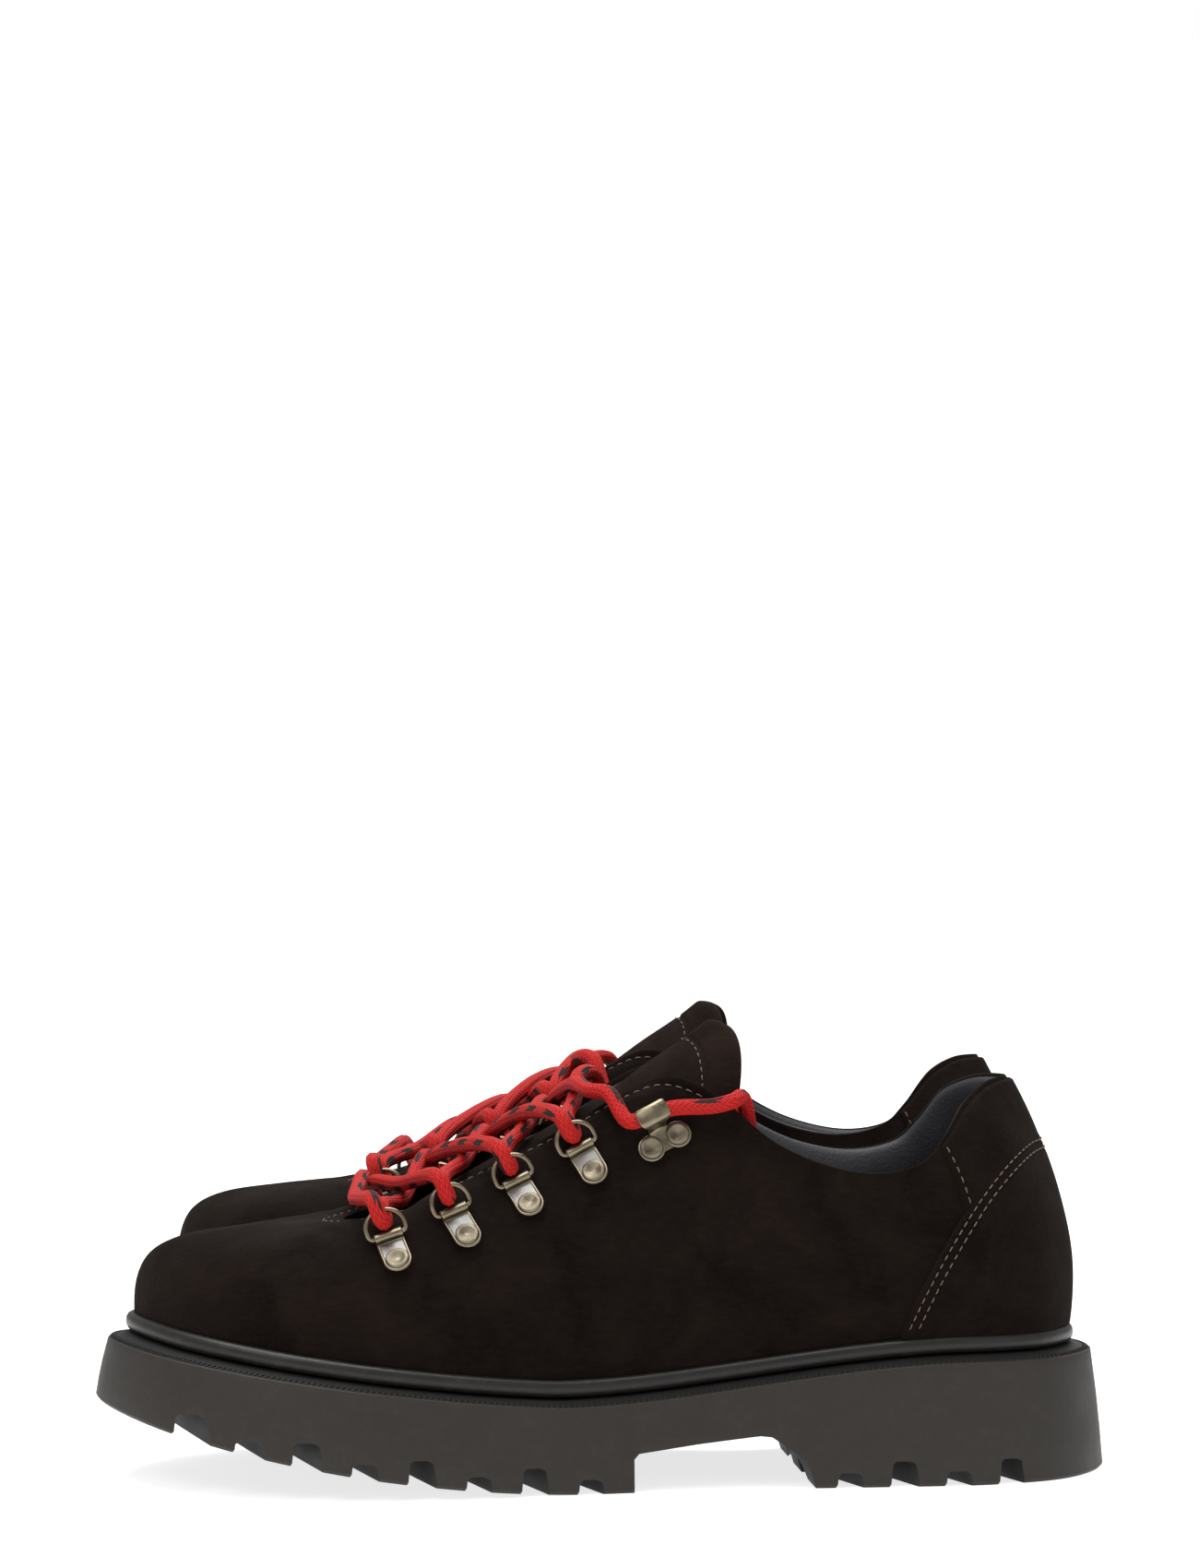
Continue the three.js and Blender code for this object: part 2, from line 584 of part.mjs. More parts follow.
// The ring's wire in its own plane: a straight hinge bar closed by a round bow.
function ringPath() {
  const half = (RING_WIDTH - RING_WIRE) / 2;
  const top = RING_DEPTH - RING_WIRE / 2;
  const shoulder = 2.6;
  const points = [V(-half + 1, 0, 0), V(0, 0, 0), V(half - 1, 0, 0), V(half, 0.9, 0)];
  const bowSteps = 8;
  for (let i = 0; i <= bowSteps; i++) {
    const a = (Math.PI * i) / bowSteps;
    points.push(V(half * Math.cos(a), shoulder + (top - shoulder) * Math.sin(a), 0));
  }
  points.push(V(-half, 0.9, 0));
  return points;
}
function ringPlace(place) {
  const up = place.across.clone().negate();
  const bow = up.multiplyScalar(Math.cos(RING_TILT)).addScaledVector(place.off, Math.sin(RING_TILT));
  return { at: place.at, along: place.along, across: bow, off: place.along.clone().cross(bow) };
}
function dRing(place) {
  const path = ringPath();
  const sides = 6;
  const rings = path.map((p, i) => {
    const before = path[(i + path.length - 1) % path.length];
    const after = path[(i + 1) % path.length];
    const tangent = after.clone().sub(before).normalize();
    const side = V(-tangent.y, tangent.x, 0);
    const radius = RING_WIRE / 2 - (p.y === 0 ? 0.1 : 0);
    return Array.from({ length: sides }, (_, k) => {
      const a = (2 * Math.PI * k) / sides;
      return p.clone().addScaledVector(side, radius * Math.cos(a)).add(V(0, 0, radius * Math.sin(a)));
    });
  });
  return placed(ringSolid(rings, true), ringPlace(place));
}

// ---- speed hooks: a riveted plate whose tab folds back over the lace ----
const HOOK_AT = [14.6, 105.4]; // pattern place of the neck's root
const HOOK_BASE = 0.6; // the plate's underside over the leather
const HOOK_PLATE = 0.9;
const HOOK_LOBE = 4.1;
const HOOK_RIVET_DOWN = 4;
const HOOK_NECK = 6;
const HOOK_CROSS = degToRad(12); // the lace passes level under the slanted tab
const LACE_OFF_NECK = 1.9;
function hookPlace(side) {
  const [u, v] = skinAt(...graded(HOOK_AT), side);
  const off = normalAt(u, v);
  const along = V(Math.cos(degToRad(30)), 0, Math.sin(degToRad(30)));
  along.addScaledVector(off, -along.dot(off)).normalize();
  const down = off.clone().cross(along).normalize();
  if (down.z > 0) down.negate();
  return { at: skin(u, v), along, across: down, off };
}
function lobe(x, y, radius, height) {
  const s = new THREE.Shape();
  s.absarc(x, y, radius, 0, 2 * Math.PI, false);
  return new THREE.ExtrudeGeometry(s, { depth: height, bevelEnabled: false, curveSegments: 5 });
}
function hook(place) {
  const [tabLong, tabWide] = HOOK_TAB;
  const [base, plate, rivetDown] = [HOOK_BASE, HOOK_PLATE, HOOK_RIVET_DOWN];
  const spread = HOOK_RIVET_SPACING / 2;
  const roof = base + plate + LACE_DIAMETER + 2 * GAP; // underside of the folded tab
  const parts = [];
  for (const x of [-spread, spread]) {
    parts.push(lobe(x, rivetDown, HOOK_LOBE, plate).translate(0, 0, base));
    parts.push(disc(RIVET_DIAMETER / 2 - 0.1, RIVET_HEIGHT, 0.4).translate(x, rivetDown, base + plate - 0.05));
  }
  // The neck climbs below the lace, and the tab reaches back over it.
  const neck = new THREE.BoxGeometry(HOOK_NECK, 6, plate).translate(0, 2, base + plate / 2);
  const wall = new THREE.BoxGeometry(HOOK_NECK, plate, roof + plate - base).translate(0, -0.6, (roof + plate + base) / 2);
  const tab = new THREE.BoxGeometry(tabLong, tabWide, plate).translate(0, -tabWide / 2 - 0.2, roof + plate / 2);
  parts.push(neck, wall, tab);
  return placed(join(...parts), handed(place));
}

// ---- the lace: one length, ring to ring, then under the hooks and down into the boot ----
const LACE_SIDES = 8;
const LACE_REST = 0.7; // the lowest strand clears the tongue's ridge by this much
const LAYER_STEP = 1.06; // crossing strands lie this many diameters apart
const wrapRadius = RING_WIRE / 2 + LACE_DIAMETER / 2 + GAP + LACE_ROOM;
// Round one ring's bow: in from the throat side, out through the ring and back over the bow.
function wrap(place, lean) {
  const ring = ringPlace(place);
  const centre = ring.at.clone().addScaledVector(ring.across, RING_DEPTH - RING_WIRE / 2);
  const outside = ring.off.dot(place.off) > 0 ? ring.off : ring.off.clone().negate();
  return [-75, -130, 180, 125, 75, 30].map((degrees) => {
    const a = degToRad(degrees);
    const t = lean * (degrees > 0 && degrees < 179 ? -1 : 1) * (Math.abs(degrees) < 179 ? 0.9 : 0);
    return centre
      .clone()
      .addScaledVector(ring.across, wrapRadius * Math.cos(a))
      .addScaledVector(outside, wrapRadius * Math.sin(a))
      .addScaledVector(place.along, t);
  });
}
const ridgeAt = (x) => {
  let [low, high] = [0, 1];
  for (let i = 0; i < 30; i++) {
    const middle = (low + high) / 2;
    if (ridgeCurve.getPoint(middle).x < x) low = middle;
    else high = middle;
  }
  return ridgeCurve.getPoint(low).z;
};
function crossing(x, layer) {
  return V(x, 0, ridgeAt(x) + GAP + LACE_REST + LACE_DIAMETER * (0.5 + layer * LAYER_STEP));
}
// One end of the lace from the last crossing: under the hook's tab, over the collar's edge
// and down inside the boot beside the tongue.
function tail(side) {
  const place = hookPlace(side);
  const rise = side > 0 ? 2.6 : 0; // the medial edge is cut a little higher
  const under = place.at
    .clone()
    .addScaledVector(place.off, HOOK_BASE + HOOK_PLATE + GAP + LACE_DIAMETER / 2)
    .addScaledVector(place.across, -LACE_DIAMETER / 2 - LACE_OFF_NECK);
  const run = place.along
    .clone()
    .multiplyScalar(Math.cos(HOOK_CROSS))
    .addScaledVector(place.across, Math.sin(HOOK_CROSS));
  return [
    V(-4.5, side * 18.5, 116.6 + rise),
    V(0.5, side * 26.6, 116.1 + rise),
    under.clone().addScaledVector(run, -7),
    under,
    under.clone().addScaledVector(run, 7),
    V(31, side * 33.8, 112.8 + rise),
    V(37, side * 32.4, 114.1 + rise),
    V(41, side * 24.6, 114.6 + rise),
    V(43.5, side * 19.5, 105),
    V(43, side * 18.5, 94),
    V(40, side * 17.5, 84),
    V(35, side * 16.5, 75),
    V(25, side * 15.5, 67),
  ];
}
function lacePoints() {
  const lateral = [0, 1, 2, 3].map((i) => clipPlace(i, -1));
  const medial = [0, 1, 2, 3].map((i) => clipPlace(i, 1));
  const bowX = (i) => ringPlace(lateral[i]).at.x + ringPlace(lateral[i]).across.x * RING_DEPTH;
  const crossX = (i) => (i < 3 ? (bowX(i) + bowX(i + 1)) / 2 - 1 : bowX(3) + 5);
  // From the middle of the front bar up one half of the lacing.
  const half = (firstSide) => {
    const points = [];
    for (let i = 0; i < RING_COUNT; i++) {
      const side = i % 2 ? -firstSide : firstSide;
      const place = (side < 0 ? lateral : medial)[i];
      points.push(...wrap(place, 1).reverse());
      // The strand that climbs from the lateral side lies underneath.
      points.push(crossing(crossX(i), side < 0 ? 0 : 1));
    }
    points.push(...tail(firstSide));
    return points;
  };
  const bar = [V(-73, -19, 84.6), V(-74.5, 0, 83), V(-73, 19, 84.6)];
  return [...half(-1).reverse(), ...bar, ...half(1)];
}
// A tube with one ring of corners at each point, its corners carried along without twist.
function tube(points, radius, sides) {
  let normal = V(0.3, 0.2, 1);
  const rings = points.map((p, i) => {
    const before = points[Math.max(i - 1, 0)];
    const after = points[Math.min(i + 1, points.length - 1)];
    const [into, out] = [p.clone().sub(before).normalize(), after.clone().sub(p).normalize()];
    const tangent = into.add(out).normalize();
    normal = normal.clone().addScaledVector(tangent, -normal.dot(tangent)).normalize();
    const binormal = tangent.clone().cross(normal);
    return Array.from({ length: sides }, (_, k) => {
      const a = (2 * Math.PI * k) / sides;
      const r = [radius * Math.cos(a), radius * Math.sin(a)];
      return p.clone().addScaledVector(normal, r[0]).addScaledVector(binormal, r[1]);
    });
  });
  return ringSolid(rings, false);
}
function lace() {
  return tube(lacePoints(), LACE_DIAMETER / 2, LACE_SIDES);
}

// ---- materials ----
const finish = (color, roughness, metalness = 0) => new THREE.MeshStandardMaterial({ color, roughness, metalness });
const suede = finish(0x32231c, 0.95);
const rubber = finish(0x3c3732, 0.7);
const liningLeather = finish(0x4a5265, 0.6);
const fibreboard = finish(0x8a7355, 0.9);
const steel = finish(0x8c8c88, 0.4, 1);
const brass = finish(0x8a7a58, 0.35, 1);
const redBraid = finish(0xc21f1a, 0.8);

// ---- assembly ----
function boot(name) {
  const group = new THREE.Group();
  const add = (piece, geometry, material) => {
    const mesh = new THREE.Mesh(geometry, material);
    mesh.name = `${name}_${piece}`;
    group.add(mesh);
  };
  add("outsole", outsole(), rubber);
  add("welt_band", weltBand(), rubber);
  add("insole_board", insoleBoard(), fibreboard);
  add("shank", shankStrip(0), steel);
  add("footbed", footbed(), liningLeather);
  add("upper", upperShell(), suede);
  add("heel_counter_panel", counterPanel(), suede);
  add("heel_collar", collarPanel(), suede);
  add("tongue", tongue(), suede);
  add("tongue_cap", tongueCap(), suede);
  add("lining", liningShell(), liningLeather);
  add("lace", lace(), redBraid);
  for (const [sideName, side] of [["lateral", -1], ["medial", 1]]) {
    for (let i = 0; i < RING_COUNT; i++) {
      const place = clipPlace(i, side);
      add(`ring_clip_${sideName}_${i + 1}`, clip(place), brass);
      add(`d_ring_${sideName}_${i + 1}`, dRing(place), brass);
    }
    add(`lace_hook_${sideName}`, hook(hookPlace(side)), brass);
  }
  return group;
}

const pair = new THREE.Group();
const left = boot("left");
left.position.y = -BOOT_SPACING / 2;
left.rotation.z = TOE_OUT;
const right = boot("right");
right.position.y = BOOT_SPACING / 2;
right.rotation.z = -TOE_OUT;
right.scale.y = -1;
pair.add(left, right);
// The origin is under the middle of the pair's length.
const extent = new THREE.Box3().setFromObject(pair, true);
for (const side of [left, right]) side.position.x = -(extent.min.x + extent.max.x) / 2;

export default pair;
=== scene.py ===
# A pair of low suede hiking boots on lugged rubber soles, laced through swinging D-rings.
# The CAD model is the frame; every piece below is made around it, and most ride on its bodies.
import json
import math

import bpy
import bmesh
import numpy as np
from mathutils.kdtree import KDTree
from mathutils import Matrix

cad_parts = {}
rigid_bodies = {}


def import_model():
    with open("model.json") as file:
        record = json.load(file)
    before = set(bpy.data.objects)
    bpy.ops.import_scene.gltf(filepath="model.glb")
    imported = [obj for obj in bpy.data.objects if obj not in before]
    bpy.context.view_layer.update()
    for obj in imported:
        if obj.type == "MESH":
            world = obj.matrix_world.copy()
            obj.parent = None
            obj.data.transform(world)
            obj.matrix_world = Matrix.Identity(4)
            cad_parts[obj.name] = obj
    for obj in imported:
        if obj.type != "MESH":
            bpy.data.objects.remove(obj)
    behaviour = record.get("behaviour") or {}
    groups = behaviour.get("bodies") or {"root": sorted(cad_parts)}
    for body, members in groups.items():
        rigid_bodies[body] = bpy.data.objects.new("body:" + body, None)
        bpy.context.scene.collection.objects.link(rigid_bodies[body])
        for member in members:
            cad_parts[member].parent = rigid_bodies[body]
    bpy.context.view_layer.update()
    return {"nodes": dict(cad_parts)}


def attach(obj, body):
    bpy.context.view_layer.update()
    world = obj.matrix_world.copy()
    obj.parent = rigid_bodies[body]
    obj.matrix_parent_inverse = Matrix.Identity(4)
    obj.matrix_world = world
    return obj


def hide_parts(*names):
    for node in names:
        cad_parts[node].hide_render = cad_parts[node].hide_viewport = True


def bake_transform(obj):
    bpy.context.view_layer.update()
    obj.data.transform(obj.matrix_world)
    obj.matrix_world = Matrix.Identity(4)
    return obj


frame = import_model()

# ---- Table, light and camera ----
# The pair stands on a white sheet under soft lamps, seen from its outer side by a camera
# on a long lens a little above the collars.
camera = bpy.data.objects.new("camera", bpy.data.cameras.new("camera"))
bpy.context.scene.collection.objects.link(camera)
bpy.context.scene.camera = camera
camera.location = (-0.001, -1.464, 0.209)
camera.rotation_euler = (math.radians(90), 0, 0)
camera.data.lens = 105.25
camera.data.sensor_width = 36
camera.data.clip_end = 50

bpy.context.scene.view_settings.view_transform = "Standard"
world = bpy.data.worlds.new("studio")
bpy.context.scene.world = world
world.use_nodes = True
sky = world.node_tree.nodes["Background"]
sky.inputs["Color"].default_value = (1, 1, 1, 1)
# The sheet behind reads white to the camera and lights the boots with about half of that.
seen = world.node_tree.nodes.new("ShaderNodeLightPath")
level = world.node_tree.nodes.new("ShaderNodeMapRange")
level.inputs["To Min"].default_value = 0.45
level.inputs["To Max"].default_value = 1.0
world.node_tree.links.new(seen.outputs["Is Camera Ray"], level.inputs["Value"])
world.node_tree.links.new(level.outputs["Result"], sky.inputs["Strength"])


def lamp(name, place, target, size, power):
    light = bpy.data.lights.new(name, "AREA")
    light.shape = "DISK"
    light.size = size
    light.energy = power
    lamp_object = bpy.data.objects.new(name, light)
    bpy.context.scene.collection.objects.link(lamp_object)
    x, y, z = (t - p for t, p in zip(target, place))
    lamp_object.location = place
    lamp_object.rotation_euler = (math.atan2(math.hypot(x, y), -z), 0, math.atan2(-x, y))


lamp("overhead lamp", (-0.2, -0.1, 2.0), (0, 0, 0.05), 1.7, 44)
lamp("key lamp", (-0.9, -1.3, 1.5), (0, 0, 0.05), 0.9, 8)
lamp("fill lamp", (1.3, -1.0, 0.8), (0, 0, 0.05), 1.2, 2)
lamp("back lamp", (0.3, 1.4, 1.3), (0, 0, 0.05), 1.0, 10)


def feed(tree, node, **inputs):
    """Link each socket given and set each value; a key is an input's name, or i and its number."""
    for key, value in inputs.items():
        socket = node.inputs[int(key[1:]) if key[1:].isdigit() else key.replace("_", " ")]
        if isinstance(value, bpy.types.NodeSocket):
            tree.links.new(value, socket)
        else:
            socket.default_value = value
    return node


def add(tree, kind, settings=None, **inputs):
    """A node with its settings and its inputs."""
    node = tree.nodes.new(kind)
    for key, value in (settings or {}).items():
        setattr(node, key, value)
    return feed(tree, node, **inputs)


def material(name, **inputs):
    """A new material with its tree and its shader."""
    made = bpy.data.materials.new(name)
    made.use_nodes = True
    return made, made.node_tree, feed(made.node_tree, made.node_tree.nodes["Principled BSDF"], **inputs)


sheet_white, tree, shader = material(
    "white_sheet", Base_Color=(0.6, 0.6, 0.6, 1), Emission_Color=(1, 1, 1, 1), Emission_Strength=0.76,
    Roughness=0.9, Specular_IOR_Level=0.0)
floor_mesh = bpy.data.meshes.new("floor")
floor_mesh.from_pydata([(-9, -9, 0), (9, -9, 0), (9, 9, 0), (-9, 9, 0)], [], [(0, 1, 2, 3)])
floor_mesh.materials.append(sheet_white)
floor = bpy.data.objects.new("floor", floor_mesh)
bpy.context.scene.collection.objects.link(floor)

# ---- Pattern of the upper ----
# The suede is cut to one pattern, given as ribs from the feather line, where it meets the
# sole, to the edge of the opening. Millimetres in the boot's own frame: toe to -x, outer
# side -y; a rib is its foot's x and y, its head's x and y, and the head's rise over the sole.
HEEL_RIB = (143.5, 0, 125.4, 0, 81.6)
TOE_RIB = (-141.5, 1, -78.3, 0, 43.2)
OUTER_RIBS = [
    (140, -12.5, 117.5, -11, 80), (129.5, -25.5, 109, -21.5, 74.4), (112, -32.5, 101.5, -27.5, 64),
    (96, -34, 94, -30.5, 57), (79, -34.5, 80, -33, 55.6), (62, -34.7, 64, -33, 60.4),
    (45, -35, 50, -31.5, 68.7), (28, -36, 38, -29.5, 80), (12, -38, 28.2, -27.5, 88.4),
    (-5, -40.5, 17, -24.5, 92.2), (-24, -44, 4, -22, 87.8), (-48, -48, -16, -21, 76.7),
    (-76, -49.5, -37, -21.5, 64.5), (-104, -43.5, -57, -19.5, 51.4), (-128, -27.5, -70, -13, 45.8),
]
INNER_RIBS = [
    (140, 12, 117.5, 11, 81), (129.5, 23.5, 109, 21, 76), (112, 30, 101.5, 25.5, 66.5),
    (96, 30, 94, 27.5, 60), (79, 28.5, 80, 28.5, 58.2), (62, 27, 64, 28.5, 62.6),
    (45, 26.5, 50, 28, 71), (28, 28, 38, 27.5, 82), (12, 31, 28.2, 26.5, 89.6),
    (-5, 34.5, 17, 24.5, 93), (-24, 39.5, 4, 22, 88.4), (-48, 45, -16, 21, 77),
    (-78, 47.5, -37, 21.5, 65.6), (-107, 41.5, -57, 19.5, 52.4), (-129, 26.5, -70, 13, 46.2),
]
# How full each rib is: station, bulge, wall height, lean, shoulder height.
RIB_FULLNESS = [
    (0, 4.3, 0.31, 0.28, 0.71), (4, 8, 0.37, 0, 0.73), (9, 9, 0.33, 0.2, 0.76),
    (12, 5, 0.36, 0.5, 0.78), (14, 3, 0.52, 0.42, 0.84), (16, 1.1, 0.93, 0.21, 0.9),
]
RIBS = np.array([HEEL_RIB, *OUTER_RIBS, TOE_RIB, *INNER_RIBS[::-1]], float)
BEAD_TOP = 5.0  # the feather line's height above the sole
SUEDE = 2.0
TOE_OUT = math.radians(5)
BOOT_Y = -64.0  # centre line of the left boot
BOOT_X = -0.966


def sole_top(x):
    """Height of the sole's top at its edge: low at the waist, higher at heel and toe."""
    x = np.asarray(x, float)
    t = np.clip((x + 15) / 125, 0, 1)
    return 27 + np.where(x > -15, 11 * t * t * (3 - 2 * t), 18.2 * np.clip((-15 - x) / 135, 0, None) ** 1.3)


def round_curve(points, u):
    """Closed smooth curve through the points, u from 0 to 1 once round."""
    s = np.mod(u, 1) * len(points)
    i = np.floor(s).astype(int)
    f = (s - i)[..., None]
    a, b, c, d = (points[(i + k) % len(points)] for k in (-1, 0, 1, 2))
    cubic = (3 * b - a - 3 * c + d) * f**3
    return 0.5 * (2 * b + (c - a) * f + (2 * a - 5 * b + 4 * c - d) * f**2 + cubic)


FEATHER = np.stack([RIBS[:, 0], RIBS[:, 1], sole_top(RIBS[:, 0]) + BEAD_TOP], axis=1)
EDGE = np.stack([RIBS[:, 2], RIBS[:, 3], sole_top(RIBS[:, 2]) + RIBS[:, 4]], axis=1)


def outward(u):
    """Direction in plan, square to the feather line and away from the foot."""
    u = np.asarray(u, float)
    along = round_curve(FEATHER, u + 1e-4) - round_curve(FEATHER, u - 1e-4)
    out = np.stack([-along[..., 1], along[..., 0], np.zeros_like(u)], axis=-1)
    return out / np.linalg.norm(out, axis=-1, keepdims=True)


def fullness(station):
    rows = RIB_FULLNESS
    k = next(i for i in range(1, len(rows)) if rows[i][0] >= station)
    t = (station - rows[k - 1][0]) / (rows[k][0] - rows[k - 1][0])
    t = t * t * (3 - 2 * t)
    return [a + (b - a) * t for a, b in zip(rows[k - 1][1:], rows[k][1:])]


LOWER_PULL, UPPER_PULL = FEATHER.copy(), FEATHER.copy()
for i in range(32):
    bulge, wall, lean, shoulder = fullness(min(i, 32 - i))
    rise = EDGE[i, 2] - FEATHER[i, 2]
    LOWER_PULL[i] += outward(i / 32) * bulge + (0, 0, wall * rise)
    UPPER_PULL[i] += (EDGE[i] - FEATHER[i]) * lean
    UPPER_PULL[i, 2] = FEATHER[i, 2] + shoulder * rise


def rib(u, v):
    f, a, b, e = (round_curve(c, u) for c in (FEATHER, LOWER_PULL, UPPER_PULL, EDGE))
    v = v[..., None]
    return f * (1 - v) ** 3 + 3 * a * v * (1 - v) ** 2 + 3 * b * v**2 * (1 - v) + e * v**3


def skin_normal(u, v):
    up = rib(u, np.minimum(v + 1e-3, 1)) - rib(u, np.maximum(v - 1e-3, 0))
    n = np.cross(up, rib(u + 1e-3, v) - rib(u - 1e-3, v))
    return n / np.linalg.norm(n, axis=-1, keepdims=True)


def skin(u, v, lift=0.0):
    """Point of the upper: u once round from the heel along the outer side, v from the
    feather line to the opening, lift off the suede."""
    u, v, lift = np.broadcast_arrays(np.asarray(u, float), np.asarray(v, float), np.asarray(lift, float))
    return rib(u, v) + skin_normal(u, v) * lift[..., None]


def beside(u, out, rise):
    """Point out from the feather line in plan, at a rise above the sole's top."""
    u, out, rise = np.broadcast_arrays(np.asarray(u, float), np.asarray(out, float), np.asarray(rise, float))
    f = round_curve(FEATHER, u)
    p = f + outward(u) * out[..., None]
    p[..., 2] = sole_top(f[..., 0]) + rise
    return p


def rib_length(u):
    steps = np.linspace(0, 1, 25)
    shape = np.shape(u) + (len(steps),)
    p = rib(np.broadcast_to(np.asarray(u, float)[..., None], shape), np.broadcast_to(steps, shape))
    return np.linalg.norm(np.diff(p, axis=-2), axis=-1).sum(-1)


def below_edge(u, distance):
    """v of the point that lies this far below the opening's edge."""
    return 1 - distance / rib_length(u)


def skin_at(x, z, side):
    """u and v of the skin's point at x, z on one side of the boot."""
    u, v = np.float64(0.36 if side < 0 else 0.64), np.float64(0.7)
    e, part_way = 1e-4, 0.6
    for _ in range(40):
        p = rib(u, v)
        du, dv = (rib(u + e, v) - p) / e, (rib(u, v + e) - p) / e
        det = du[0] * dv[2] - dv[0] * du[2]
        u_step = part_way * ((x - p[0]) * dv[2] - dv[0] * (z - p[2])) / det
        v_step = part_way * (du[0] * (z - p[2]) - (x - p[0]) * du[2]) / det
        u, v = u + u_step, np.clip(v + v_step, 0, 0.999)
    return u, v


def downward(off, along):
    """The way down the surface, square to a line along it."""
    down = np.cross(off, along)
    down = down / np.linalg.norm(down)
    return -down if down[2] > 0 else down


def search_tree(points):
    tree = KDTree(len(points))
    for k, p in enumerate(points):
        tree.insert(p, k)
    tree.balance()
    return tree


def placed(points, side):
    """Points of the boot's own frame, in metres where the left or the right boot stands."""
    p = np.asarray(points, float)
    c, s = math.cos(TOE_OUT), math.sin(TOE_OUT)
    x = p[..., 0] * c - p[..., 1] * s + BOOT_X
    y = p[..., 0] * s + p[..., 1] * c + BOOT_Y
    return np.stack([x, -y if side == "right" else y, p[..., 2]], axis=-1) / 1000


def grid_faces(rows, columns, wrap_rows=False, wrap_columns=False):
    faces = []
    for i in range(rows if wrap_rows else rows - 1):
        for j in range(columns if wrap_columns else columns - 1):
            k, m = (i + 1) % rows, (j + 1) % columns
            faces.append((i * columns + j, i * columns + m, k * columns + m, k * columns + j))
    return faces


def turn_outward(mesh, weld=None):
    """Turn the mesh's faces outward, its near corners joined first where weld is given."""
    b = bmesh.new()
    b.from_mesh(mesh)
    if weld:
        bmesh.ops.remove_doubles(b, verts=b.verts, dist=weld)
    bmesh.ops.recalc_face_normals(b, faces=b.faces)
    b.to_mesh(mesh)
    b.free()


def make(name, points, faces, finish, body="boot", uv=None, sharp=None):
    """The same piece for both boots, the right one mirrored, each riding on its body."""
    made = {}
    points = np.asarray(points, float).reshape(-1, 3)
    for side in ("left", "right"):
        mesh = bpy.data.meshes.new(f"{side}_{name}")
        turned = faces if side == "left" else [f[::-1] for f in faces]
        mesh.from_pydata(placed(points, side).tolist(), [], turned)
        if uv is not None:
            layer = mesh.uv_layers.new(name="UVMap")
            loops = np.array([uv[v] for f in turned for v in f], float)
            layer.data.foreach_set("uv", loops.ravel())
        turn_outward(mesh)
        mesh.shade_smooth()
        if sharp:
            mesh.set_sharp_from_angle(angle=math.radians(sharp))
        mesh.materials.append(finish)
        piece = bpy.data.objects.new(mesh.name, mesh)
        bpy.context.scene.collection.objects.link(piece)
        if body:
            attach(piece, f"{side}_{body}")
        made[side] = piece
    return made


def effect(name, inputs, outputs):
    """An empty node group with its named inputs (name, kind, value) and outputs (name, kind)."""
    group = bpy.data.node_groups.new(name, "ShaderNodeTree")
    for label, kind, value in inputs:
        socket = group.interface.new_socket(label, in_out="INPUT", socket_type=kind)
        if value is not None:
            socket.default_value = value
    for label, kind in outputs:
        group.interface.new_socket(label, in_out="OUTPUT", socket_type=kind)
    return group, group.nodes.new("NodeGroupInput"), group.nodes.new("NodeGroupOutput")


FLOAT, VECTOR = "NodeSocketFloat", "NodeSocketVector"


def object_place(tree):
    return add(tree, "ShaderNodeTexCoord").outputs["Object"]


def noise(tree, place, scale, detail, **inputs):
    return add(tree, "ShaderNodeTexNoise", Vector=place, Scale=scale, Detail=detail, **inputs).outputs["Fac"]


def maths(tree, operation, *values, clamp=False):
    inputs = {f"i{k}": value for k, value in enumerate(values)}
    return add(tree, "ShaderNodeMath", {"operation": operation, "use_clamp": clamp}, **inputs).outputs[0]


def ranged(tree, value, low, high, to_low, to_high):
    return add(tree, "ShaderNodeMapRange", i0=value, i1=low, i2=high, i3=to_low, i4=to_high).outputs[0]


def two_tone(tree, share, dark, light):
    """A colour between two, by a share; a colour is three numbers or a socket."""
    ends = [c if isinstance(c, bpy.types.NodeSocket) else (*c, 1) for c in (dark, light)]
    return add(tree, "ShaderNodeMix", {"data_type": "RGBA"}, i0=share, i6=ends[0], i7=ends[1]).outputs[2]


def bump(tree, strength, distance, height):
    return add(tree, "ShaderNodeBump", Strength=strength, Distance=distance, Height=height).outputs[0]


# Suede nap: brushed patches and a pile of short fibres.
nap, start, end = effect("nap", [("Place", VECTOR, None), ("Patch Size", FLOAT, 60.0), ("Pile", FLOAT, 1600.0)],
                         [("Brushed", FLOAT), ("Height", FLOAT), ("Roughness", FLOAT)])
place = start.outputs["Place"]
patches = noise(nap, place, start.outputs["Patch Size"], 5.0, Roughness=0.62, Distortion=0.6)
pile = noise(nap, place, start.outputs["Pile"], 3.0, Roughness=0.7)
stretch = add(nap, "ShaderNodeVectorMath", {"operation": "MULTIPLY"}, i0=place, i1=(0.35, 1.0, 1.0))
streaks = noise(nap, stretch.outputs[0], 820.0, 4.0, Roughness=0.6, Distortion=0.4)
fleck = maths(nap, "MULTIPLY_ADD", streaks, 0.9, -0.45)
mixed = maths(nap, "ADD", ranged(nap, patches, 0.36, 0.68, 0.15, 0.85), fleck, clamp=True)
feed(nap, end, Brushed=mixed, Height=maths(nap, "ADD", pile, streaks),
     Roughness=ranged(nap, mixed, 0.0, 1.0, 0.98, 0.84))


